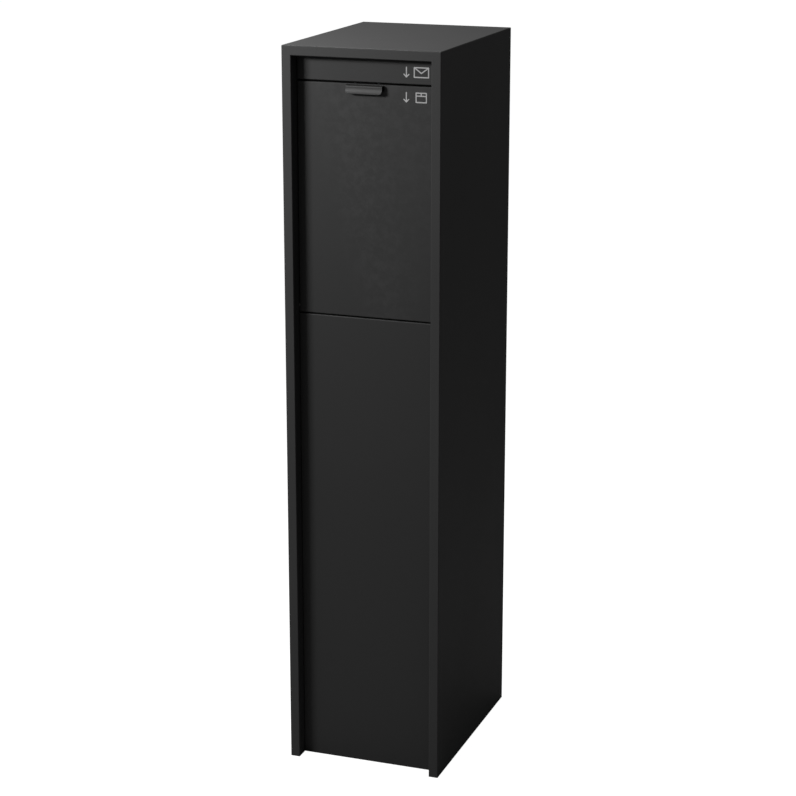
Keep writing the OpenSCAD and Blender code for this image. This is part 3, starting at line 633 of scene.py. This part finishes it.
def build_parcel_door(finish):
    """The parcel door: a tray with a slot for the pull tab under its top fold, and a lip behind it."""
    low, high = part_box("parcel_door")
    tab_low, tab_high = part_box("pull_tab")
    slot_low = (tab_low.x - TAB_SLOT_PLAY, low.y - TAB_SLOT_PLAY, high.z - TAB_SLOT_BOTTOM)
    slot_high = (tab_high.x + TAB_SLOT_PLAY, low.y + SHEET + TAB_SLOT_PLAY, high.z - TAB_SLOT_TOP)
    build_tray("parcel_door_skin", "parcel_door", finish, cut=[(slot_low, slot_high)])
    lip_half = CHEEK_LOW.x - 1 * MM
    lip_low = (-lip_half, high.y - SHEET, high.z - DOOR_LIP_HEIGHT)
    bm = solid_from_boxes([(lip_low, (lip_half, high.y, high.z - SHEET))], [])
    bent_piece("parcel_door_lip", bm, finish.rim_radius, 1.0, "black_coat", DOOR)


FOLDED_NODES = ("front_cross_rail", "letter_sill_rail", "hopper_floor", "base_plate")
PLATE_NODES = ("rear_sill", "left_hopper_cheek", "right_hopper_cheek", "flap_stop_strip",
               "flap_hinge_plates", "parcel_hinge_plates", "rear_pivot_plates", "rear_stop_strips",
               "rear_hinge_plates", "hopper_stop_brackets", "letter_chute", "rear_door_stiffener",
               "flap_knuckles", "lock_cam", "flap_rod_clips")
TURNED_NODES = ("flap_hinge_rod", "parcel_hinge_pins", "rear_pivot_pins", "hopper_stop_lugs",
                "parcel_door_bumpers", "hopper_stop_pads", "rear_door_seal", "hopper_edge_seal",
                "lock_housing", "lock_nut", "lock_plug", "lock_cam_screw")


def strip_points(points, radius, steps):
    """The points of a line through points with its corners rounded to radius."""
    line = [points[0]]
    for before, corner, after in zip(points, points[1:], points[2:]):
        into = (corner - before).normalized()
        out = (after - corner).normalized()
        turn = into.angle(out)
        start = corner - into * (radius * math.tan(turn / 2))
        centre = corner + (out - into).normalized() * (radius / math.cos(turn / 2))
        axis = into.cross(out)
        line += [centre + Matrix.Rotation(turn * k / steps, 3, axis) @ (start - centre)
                 for k in range(steps + 1)]
    line.append(points[-1])
    return line


def tab_line(low, high):
    """The pull tab's middle line from its root: out past the door's face, down, and out to the lip."""
    root_z = high.z - TAB_THICKNESS / 2
    neck = Vector((0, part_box("parcel_door")[0].y - TAB_NECK, root_z))
    start = neck - Vector((0, 0, TAB_BEND_DROP))
    reach = start.y - low.y - TAB_THICKNESS / 2
    drop = start.z - low.z - TAB_LIP_RISE
    flare = 2 * math.atan(reach / drop)
    radius = drop / math.sin(flare)
    steps = 12
    turns = [flare * k / steps for k in range(1, steps + 1)]
    line = strip_points([Vector((0, high.y, root_z)), neck, start], TAB_BEND_RADIUS, 8)
    line += [start - Vector((0, radius * (1 - math.cos(turn)), radius * math.sin(turn))) for turn in turns]
    return line


def even_points(line, steps):
    """Points at even spacing along a line, each with what is left of the line after it."""
    lengths = [0.0]
    for before, after in zip(line, line[1:]):
        lengths.append(lengths[-1] + (after - before).length)
    for k in range(steps + 1):
        along = lengths[-1] * k / steps
        index = max(i for i, length in enumerate(lengths) if length <= along + 1e-9)
        index = min(index, len(line) - 2)
        share = (along - lengths[index]) / (lengths[index + 1] - lengths[index])
        yield line[index].lerp(line[index + 1], share), lengths[-1] - along


def build_pull_tab():
    """The bent pull tab, which comes out through the door's slot, with a rounded lip."""
    low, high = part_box("pull_tab")
    bm = bmesh.new()
    rows = []
    for point, left_over in even_points(tab_line(low, high), 160):
        past = max(0.0, TAB_CORNER - left_over)
        half = high.x - TAB_CORNER + math.sqrt(TAB_CORNER ** 2 - past ** 2)
        rows.append([bm.verts.new((x * half, point.y, point.z)) for x in (-1, -0.8, 0, 0.8, 1)])
    for first, second in zip(rows, rows[1:]):
        for a, b, c, d in zip(first, first[1:], second[1:], second):
            bm.faces.new((a, b, c, d))
    bmesh.ops.recalc_face_normals(bm, faces=bm.faces)
    piece = new_piece("pull_tab_lip", mesh_from(bm, "pull_tab_lip"), "black_coat", DOOR, "pull_tab",
                      material=bpy.data.materials["handled_coat"])
    solid = piece.modifiers.new("thickness", "SOLIDIFY")
    solid.thickness = TAB_THICKNESS
    solid.offset = 0
    soft = piece.modifiers.new("soft_rim", "BEVEL")
    soft.width = TAB_THICKNESS / 4
    soft.segments = 3
    soft.limit_method = "ANGLE"
    soft.angle_limit = math.radians(50)
    flat = piece.modifiers.new("flat_faces", "WEIGHTED_NORMAL")
    flat.weight = 100


def add_stroke(bm, start, end, half, front_y, back_y):
    """A flat line with round ends between two points in X and Z."""
    along = (end - start).normalized()
    turn = math.atan2(along.z, along.x) - math.pi / 2
    steps = 8
    ring = [(end, turn + math.pi * k / steps) for k in range(steps + 1)]
    ring += [(start, turn + math.pi * (1 + k / steps)) for k in range(steps + 1)]
    front, back = [[bm.verts.new((centre.x + half * math.cos(angle), y, centre.z + half * math.sin(angle)))
                    for centre, angle in ring] for y in (front_y, back_y)]
    bm.faces.new(front)
    bm.faces.new(reversed(back))
    for k in range(len(ring)):
        bm.faces.new((front[k - 1], back[k - 1], back[k], front[k]))


def flat_point(x, z):
    """A point of a pictogram."""
    return Vector((x, 0, z))


def arrow_lines(x, low_z, high_z, half):
    """A downward arrow round the upright line at x: its shaft and two wings."""
    wing = ARROW_WING * (high_z - low_z)
    tip = flat_point(x, low_z + half)
    return [(flat_point(x, high_z - half), tip), (tip, tip + flat_point(-wing, wing)),
            (tip, tip + flat_point(wing, wing))]


def frame_corners(low_x, high_x, low_z, high_z, half):
    """The corners of a drawn rectangle, in order round it."""
    return [flat_point(low_x + half, low_z + half), flat_point(high_x - half, low_z + half),
            flat_point(high_x - half, high_z - half), flat_point(low_x + half, high_z - half)]


def join_lines(name, lines, half, front_y, back_y):
    """One closed flat mesh from overlapping lines."""
    holders = []
    for label, group in (("_most", lines[1:]), ("_first", lines[:1])):
        bm = bmesh.new()
        for start, end in group:
            add_stroke(bm, start, end, half, front_y, back_y)
        bmesh.ops.recalc_face_normals(bm, faces=bm.faces)
        mesh = bpy.data.meshes.new(name + label)
        bm.to_mesh(mesh)
        bm.free()
        holders.append(add_object(name + label, mesh))
    most, first = holders
    union = most.modifiers.new("union", "BOOLEAN")
    union.operation = "UNION"
    union.solver = "EXACT"
    union.use_self = True
    union.object = first
    joined = settled_mesh(name, most)
    for holder in holders:
        bpy.data.objects.remove(holder)
    return joined


def build_pictogram(node, sign_width, inner_lines):
    """A printed arrow and a framed sign; inner_lines draws what is inside the frame."""
    low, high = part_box(node)
    height = high.z - low.z
    half = STROKE_HALF * height
    left = high.x - sign_width * height
    corners = frame_corners(left, high.x, low.z, high.z, half)
    lines = list(zip(corners, corners[1:] + corners[:1])) + inner_lines(corners)
    lines += arrow_lines(low.x + ARROW_PLACE * height, low.z, high.z, half)
    mesh = join_lines(node + "_print", lines, half, low.y, high.y)
    new_piece(node + "_print", mesh, "grey_print", NODE_BODY[node], node)


def envelope_lines(corners):
    """The flap of an envelope."""
    middle = (corners[0] + corners[1]) / 2
    middle.z += ENVELOPE_DIP * (corners[3].z - corners[0].z)
    return [(corners[3], middle), (middle, corners[2])]


def carton_lines(corners):
    """The lid of a carton and the tape down its middle."""
    left, right = corners[0].lerp(corners[3], CARTON_LID), corners[1].lerp(corners[2], CARTON_LID)
    return [(left, right), ((left + right) / 2, (corners[2] + corners[3]) / 2)]


# ---- geometry nodes

def new_geometry_group(name, inputs):
    """An empty geometry group with named inputs, and its input and output nodes."""
    group = bpy.data.node_groups.new(name, "GeometryNodeTree")
    group.interface.new_socket("Geometry", in_out="INPUT", socket_type="NodeSocketGeometry")
    for label, kind, value in inputs:
        socket = group.interface.new_socket(label, in_out="INPUT", socket_type=kind)
        if value is not None:
            socket.default_value = value
    group.interface.new_socket("Geometry", in_out="OUTPUT", socket_type="NodeSocketGeometry")
    return group, group.nodes.new("NodeGroupInput"), group.nodes.new("NodeGroupOutput")


def finish_geometry(group, result, start, end):
    """Ends a tree in Realize Instances and Set Material."""
    real = add_node(group, "GeometryNodeRealizeInstances", geometry=result)
    paint = add_node(group, "GeometryNodeSetMaterial", geometry=real.outputs["Geometry"],
                     material=start.outputs["Material"])
    group.links.new(paint.outputs["Geometry"], end.inputs["Geometry"])


def fastener_group():
    """Domed heads with shanks, one at each point, standing along the point's axis attribute."""
    group, start, end = new_geometry_group("Fasteners", [
        ("Head Radius", "NodeSocketFloat", 3 * MM), ("Head Height", "NodeSocketFloat", 1 * MM),
        ("Shank Radius", "NodeSocketFloat", 1.6 * MM), ("Shank Length", "NodeSocketFloat", 3 * MM),
        ("Material", "NodeSocketMaterial", None)])
    head_radius = start.outputs["Head Radius"]
    shank_length = start.outputs["Shank Length"]

    dome = add_node(group, "GeometryNodeMeshUVSphere", segments=24, rings=12, radius=head_radius)
    ratio = add_math(group, "DIVIDE", start.outputs["Head Height"], head_radius)
    place = group.nodes.new("GeometryNodeInputPosition")
    split = add_node(group, "ShaderNodeSeparateXYZ", vector=place.outputs[0])
    squashed_z = add_math(group, "MULTIPLY", add_math(group, "MAXIMUM", split.outputs["Z"], 0.0), ratio)
    squashed = add_node(group, "ShaderNodeCombineXYZ", x=split.outputs["X"], y=split.outputs["Y"],
                        z=squashed_z)
    head = add_node(group, "GeometryNodeSetPosition", geometry=dome.outputs["Mesh"],
                    position=squashed.outputs[0])

    shank = add_node(group, "GeometryNodeMeshCylinder", vertices=20,
                     radius=start.outputs["Shank Radius"], depth=shank_length)
    down = add_node(group, "ShaderNodeCombineXYZ", z=add_math(group, "MULTIPLY", shank_length, -0.5))
    lowered = add_node(group, "GeometryNodeTransform", geometry=shank.outputs["Mesh"],
                       translation=down.outputs[0])

    whole = group.nodes.new("GeometryNodeJoinGeometry")
    for part in (head, lowered):
        group.links.new(part.outputs["Geometry"], whole.inputs[0])
    axis = add_node(group, "GeometryNodeInputNamedAttribute", name="axis")
    axis.data_type = "FLOAT_VECTOR"
    align = add_node(group, "FunctionNodeAlignRotationToVector", vector=axis.outputs["Attribute"])
    align.axis = "Z"
    spread = add_node(group, "GeometryNodeInstanceOnPoints", points=start.outputs["Geometry"],
                      instance=whole.outputs["Geometry"], rotation=align.outputs["Rotation"])
    finish_geometry(group, spread.outputs["Instances"], start, end)


def coil_group():
    """A round-wire coil along X with flat-ended turns."""
    group, start, end = new_geometry_group("Coil", [
        ("Turns", "NodeSocketFloat", 12.0), ("Radius", "NodeSocketFloat", 3.2 * MM),
        ("Length", "NodeSocketFloat", 24 * MM), ("Wire Radius", "NodeSocketFloat", SPRING_WIRE_RADIUS),
        ("Material", "NodeSocketMaterial", None)])
    radius = start.outputs["Radius"]
    spiral = add_node(group, "GeometryNodeCurveSpiral", resolution=24, rotations=start.outputs["Turns"],
                      start_radius=radius, end_radius=radius, height=start.outputs["Length"])
    wire = add_node(group, "GeometryNodeCurvePrimitiveCircle", resolution=10,
                    radius=start.outputs["Wire Radius"])
    sweep = add_node(group, "GeometryNodeCurveToMesh", curve=spiral.outputs["Curve"],
                     profile_curve=wire.outputs["Curve"], fill_caps=True)
    turn = add_node(group, "GeometryNodeTransform", geometry=sweep.outputs["Mesh"],
                    rotation=(0, math.pi / 2, 0))
    joined = group.nodes.new("GeometryNodeJoinGeometry")
    for part in (turn, start):
        group.links.new(part.outputs["Geometry"], joined.inputs[0])
    finish_geometry(group, joined.outputs["Geometry"], start, end)


def evaluated_mesh(name, source, group, values):
    """The plain mesh that a geometry group makes from source, with its inputs set by name."""
    holder = add_object(name + "_points", source)
    modifier = holder.modifiers.new("nodes", "NODES")
    modifier.node_group = group
    for item in group.interface.items_tree:
        if item.item_type == "SOCKET" and item.in_out == "INPUT" and item.name in values:
            modifier[item.identifier] = values[item.name]
    mesh = settled_mesh(name, holder)
    bpy.data.objects.remove(holder)
    return mesh


def node_parts(node):
    """The separate solids of a CAD node, each as its lowest and highest corner."""
    bm = merged_copy(node)
    seen = set()
    parts = []
    for vert in bm.verts:
        if vert in seen:
            continue
        heap, group = [vert], []
        seen.add(vert)
        while heap:
            here = heap.pop()
            group.append(here.co.copy())
            for edge in here.link_edges:
                other = edge.other_vert(here)
                if other not in seen:
                    seen.add(other)
                    heap.append(other)
        parts.append((Vector([min(p[a] for p in group) for a in range(3)]),
                      Vector([max(p[a] for p in group) for a in range(3)])))
    bm.free()
    return parts


def fastener_points(name, spots):
    """A mesh of loose points with an axis attribute, one for each (place, axis)."""
    mesh = bpy.data.meshes.new(name)
    mesh.from_pydata([tuple(place) for place, axis in spots], [], [])
    attribute = mesh.attributes.new("axis", "FLOAT_VECTOR", "POINT")
    for index, (place, axis) in enumerate(spots):
        attribute.data[index].vector = axis
    return mesh


def build_fasteners(name, node, axis_of, head_radius, head_height, shank_radius):
    """Fasteners where the CAD node has its plain ones; axis_of gives the way each head faces."""
    spots = []
    length = 0.0
    for low, high in node_parts(node):
        axis = Vector(axis_of(low, high))
        along = max(range(3), key=lambda a: abs(axis[a]))
        size = high[along] - low[along]
        length = max(length, size - head_height)
        place = (low + high) / 2
        place[along] = high[along] - head_height if axis[along] > 0 else low[along] + head_height
        spots.append((place, axis))
    source = fastener_points(name + "_points", spots)
    mesh = evaluated_mesh(name, source, bpy.data.node_groups["Fasteners"], {
        "Head Radius": head_radius, "Head Height": head_height, "Shank Radius": shank_radius,
        "Shank Length": length, "Material": material_for("bright_steel")})
    mesh.shade_smooth()
    new_piece(name, mesh, "bright_steel", NODE_BODY[node], node)


def outward_x(low, high):
    """Heads on the outer side, away from the middle."""
    return (1 if low.x + high.x > 0 else -1, 0, 0)


def inward_x(low, high):
    """Heads on the inner side, towards the middle."""
    return (-1 if low.x + high.x > 0 else 1, 0, 0)


def upward(low, high):
    """Heads on top."""
    return (0, 0, 1)


def add_wire(bm, line, radius):
    """A round wire with flat ends along a line that stays at one X."""
    ring_size = 10
    side = Vector((1, 0, 0))
    rings = []
    for index, point in enumerate(line):
        ahead = line[min(index + 1, len(line) - 1)] - line[max(index - 1, 0)]
        other = ahead.normalized().cross(side)
        rings.append([bm.verts.new(point + radius * (math.cos(angle) * side + math.sin(angle) * other))
                      for angle in (2 * math.pi * k / ring_size for k in range(ring_size))])
    for first, second in zip(rings, rings[1:]):
        for k in range(ring_size):
            bm.faces.new((first[k], first[k - 1], second[k - 1], second[k]))
    bm.faces.new(rings[0])
    bm.faces.new(reversed(rings[-1]))
    bmesh.ops.recalc_face_normals(bm, faces=bm.faces)


def build_flap_spring():
    """The torsion spring on the flap's rod: a close coil and the leg that presses on the flap."""
    low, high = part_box("flap_return_spring")
    rod_low, rod_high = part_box("flap_hinge_rod")
    axis = (rod_low + rod_high) / 2
    wire = SPRING_WIRE_RADIUS
    radius = high.y - axis.y - wire
    length = high.x - low.x - 2 * wire
    mesh = evaluated_mesh("flap_spring_coil", bpy.data.meshes.new("coil_start"),
                          bpy.data.node_groups["Coil"], {
        "Turns": length / SPRING_PITCH, "Radius": radius, "Length": length, "Wire Radius": wire,
        "Material": material_for("bright_steel")})
    mesh.transform(Matrix.Translation((low.x + wire, axis.y, axis.z)))
    bm = bmesh.new()
    bm.from_mesh(mesh)
    leg_x, leg_y = low.x + wire, low.y + wire
    leg = [Vector((leg_x, axis.y - radius, axis.z)), Vector((leg_x, leg_y, axis.z)),
           Vector((leg_x, leg_y, low.z))]
    add_wire(bm, strip_points(leg, SPRING_LEG_BEND, 5), wire)
    new_piece("flap_spring", mesh_from(bm, "flap_spring"), "bright_steel", FLAP, "flap_return_spring")


# ---- stage

def stage_material(name, colour, glow):
    """A plain matte stage surface that glows by itself only to the camera."""
    material = bpy.data.materials.new(name)
    material.use_nodes = True
    tree = material.node_tree
    shader = tree.nodes["Principled BSDF"]
    shader.inputs["Base Color"].default_value = (*colour, 1.0)
    shader.inputs["Roughness"].default_value = 0.9
    shader.inputs["Specular IOR Level"].default_value = 0.0
    shader.inputs["Emission Color"].default_value = (1, 1, 1, 1)
    path = tree.nodes.new("ShaderNodeLightPath")
    glowing = add_math(tree, "MULTIPLY", path.outputs["Is Camera Ray"], glow)
    tree.links.new(glowing, shader.inputs["Emission Strength"])
    return material


def stage_surface(name, low, high, height, glow):
    """A level rectangle of the stage between two corners."""
    mesh = bpy.data.meshes.new(name)
    outline = ((low.x, low.y), (high.x, low.y), (high.x, high.y), (low.x, high.y))
    mesh.from_pydata([(x, y, height) for x, y in outline], [], [(0, 1, 2, 3)])
    mesh.materials.append(stage_material(name, (0.25, 0.25, 0.25), glow))
    surface = add_object(name, mesh)


def build_floor():
    """A wide pale floor that glows to the camera, and dark patches that stop its glow under the box."""
    reach = Vector((40.0, 40.0, 0.0))
    stage_surface("pale_floor", -reach, reach, 0.0, 0.98)
    for node in ("base_plate", "left_side_panel", "right_side_panel"):
        stage_surface("shade_under_" + node, *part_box(node), 0.1 * MM, 0.0)


def build_surroundings(stage):
    """Even surroundings: white to the camera, and dimmer where they light the box."""
    world = bpy.data.worlds.new("surroundings")
    world.use_nodes = True
    tree = world.node_tree
    background = tree.nodes["Background"]
    background.inputs["Color"].default_value = (1, 1, 1, 1)
    path = tree.nodes.new("ShaderNodeLightPath")
    strength = add_math(tree, "MULTIPLY_ADD", path.outputs["Is Camera Ray"], 1.0 - stage.fill, stage.fill)
    tree.links.new(strength, background.inputs["Strength"])
    bpy.context.scene.world = world


def soft_light(name, place, aim, size, power):
    """A rectangular soft light at place that looks at aim."""
    data = bpy.data.lights.new(name, "AREA")
    data.shape = "RECTANGLE"
    data.size, data.size_y = size
    data.energy = power
    light = add_object(name, data)
    light.location = place
    light.rotation_euler = (aim - place).to_track_quat("-Z", "Y").to_euler()
    light.visible_camera = False


def build_lights(stage):
    """The key light before the box and the overhead light."""
    top = Vector((0, 0, CAD_HIGH.z))
    key_aim = Vector((0, KEY_AIM_Y, KEY_AIM_SHARE * CAD_HIGH.z))
    soft_light("key_light", top + KEY_PLACE, key_aim, KEY_SIZE, stage.key_power)
    soft_light("top_light", top + TOP_PLACE, top, TOP_SIZE, stage.top_power)


def build_camera(stage):
    """The camera, aimed near the middle of the box."""
    data = bpy.data.cameras.new("camera")
    data.lens = stage.lens
    camera = add_object("camera", data)
    azimuth, elevation = stage.camera_azimuth, stage.camera_elevation
    back = Vector((math.sin(azimuth) * math.cos(elevation), -math.cos(azimuth) * math.cos(elevation),
                   math.sin(elevation)))
    aim = (CAD_LOW + CAD_HIGH) / 2 + Vector(stage.camera_aim)
    camera.location = aim + back * stage.camera_distance
    camera.rotation_euler = (-back).to_track_quat("-Z", "Y").to_euler()
    bpy.context.scene.camera = camera
    bpy.context.scene.view_settings.view_transform = "Standard"


# ---- operators

class LETTERBOX_OT_materials(bpy.types.Operator):
    """Make the shader groups and one material for each slot"""
    bl_idname = "letterbox.materials"
    bl_label = "Materials"

    def execute(self, context):
        for make_group in (mottle_group, edge_wear_group, dust_group, grain_group, brushed_group):
            make_group()
        for make_material in (*SLOT_MATERIAL.values(), painted_shade_panel_coat, handled_coat):
            make_material(context.scene.box_finish)
        return {"FINISHED"}


class LETTERBOX_OT_shell(bpy.types.Operator):
    """Make the welded outer shell"""
    bl_idname = "letterbox.shell"
    bl_label = "Outer shell"

    def execute(self, context):
        build_outer_shell(context.scene.box_finish)
        return {"FINISHED"}


class LETTERBOX_OT_folded(bpy.types.Operator):
    """Round the bends of the folded panels, doors and rails"""
    bl_idname = "letterbox.folded"
    bl_label = "Folded panels and doors"

    def execute(self, context):
        finish = context.scene.box_finish
        build_tray("lower_panel_skin", "lower_front_panel", finish)
        build_tray("letter_flap_skin", "letter_flap", finish)
        build_parcel_door(finish)
        build_tray("rear_door_skin", "rear_door", finish, "front")
        for node in FOLDED_NODES:
            finished_copy(node, finish.bend_radius, finish.rim_radius / finish.bend_radius)
        return {"FINISHED"}


class LETTERBOX_OT_plain(bpy.types.Operator):
    """Soften the edges of the flat plates, brackets, pins, pads, seals and the lock"""
    bl_idname = "letterbox.plain"
    bl_label = "Plates, pins, pads, seals and lock"

    def execute(self, context):
        for node in PLATE_NODES + TURNED_NODES:
            finished_copy(node, context.scene.box_finish.rim_radius, 1.0)
        return {"FINISHED"}


class LETTERBOX_OT_print(bpy.types.Operator):
    """Finish the printed pictograms"""
    bl_idname = "letterbox.pictograms"
    bl_label = "Pictograms"

    def execute(self, context):
        build_pictogram("letter_pictogram", ENVELOPE_WIDTH, envelope_lines)
        build_pictogram("parcel_pictogram", CARTON_WIDTH, carton_lines)
        return {"FINISHED"}


class LETTERBOX_OT_pull_tab(bpy.types.Operator):
    """Make the bent pull tab"""
    bl_idname = "letterbox.pull_tab"
    bl_label = "Pull tab"

    def execute(self, context):
        build_pull_tab()
        return {"FINISHED"}


class LETTERBOX_OT_fasteners(bpy.types.Operator):
    """Make the screws and rivets"""
    bl_idname = "letterbox.fasteners"
    bl_label = "Screws and rivets"

    def execute(self, context):
        fastener_group()
        build_fasteners("panel_screws", "lower_panel_screws", outward_x, *PANEL_SCREW)
        build_fasteners("chute_rivet_heads", "chute_rivets", upward, *POP_RIVET)
        build_fasteners("hopper_rivet_heads", "hopper_rivets", inward_x, *POP_RIVET)
        build_fasteners("tab_rivet_heads", "pull_tab_rivets", upward, *FLAT_RIVET)
        return {"FINISHED"}


class LETTERBOX_OT_spring(bpy.types.Operator):
    """Make the coiled return spring of the letter flap"""
    bl_idname = "letterbox.spring"
    bl_label = "Return spring"

    def execute(self, context):
        coil_group()
        build_flap_spring()
        return {"FINISHED"}


class LETTERBOX_OT_stage(bpy.types.Operator):
    """Set up the floor, the soft lights, the surroundings and the camera"""
    bl_idname = "letterbox.stage"
    bl_label = "Stage"

    def execute(self, context):
        stage = context.scene.box_stage
        build_floor()
        build_surroundings(stage)
        build_lights(stage)
        build_camera(stage)
        return {"FINISHED"}


class LETTERBOX_PT_panel(bpy.types.Panel):
    """Sizes, colours and steps of the letter and parcel box"""
    bl_label = "Letter and Parcel Box"
    bl_idname = "LETTERBOX_PT_panel"
    bl_space_type = "VIEW_3D"
    bl_region_type = "UI"
    bl_category = "Letter Box"

    def draw(self, context):
        layout = self.layout
        for settings in (context.scene.box_finish, context.scene.box_stage):
            column = layout.column()
            for name in settings.bl_rna.properties.keys():
                if name not in {"rna_type", "name"}:
                    column.prop(settings, name)
        for operator in OPERATORS:
            layout.operator(operator.bl_idname)


OPERATORS = (LETTERBOX_OT_materials, LETTERBOX_OT_stage, LETTERBOX_OT_shell, LETTERBOX_OT_folded,
             LETTERBOX_OT_plain, LETTERBOX_OT_print, LETTERBOX_OT_pull_tab, LETTERBOX_OT_fasteners,
             LETTERBOX_OT_spring)
CLASSES = (BoxFinish, BoxStage) + OPERATORS + (LETTERBOX_PT_panel,)


def register():
    for cls in CLASSES:
        bpy.utils.register_class(cls)
    bpy.types.Scene.box_finish = bpy.props.PointerProperty(type=BoxFinish)
    bpy.types.Scene.box_stage = bpy.props.PointerProperty(type=BoxStage)


def unregister():
    del bpy.types.Scene.box_stage
    del bpy.types.Scene.box_finish
    for cls in reversed(CLASSES):
        bpy.utils.unregister_class(cls)


def main():
    """Builds every piece and the stage in order."""
    register()
    for operator in OPERATORS:
        group, name = operator.bl_idname.split(".")
        getattr(getattr(bpy.ops, group), name)()


if __name__ == "__main__":
    main()
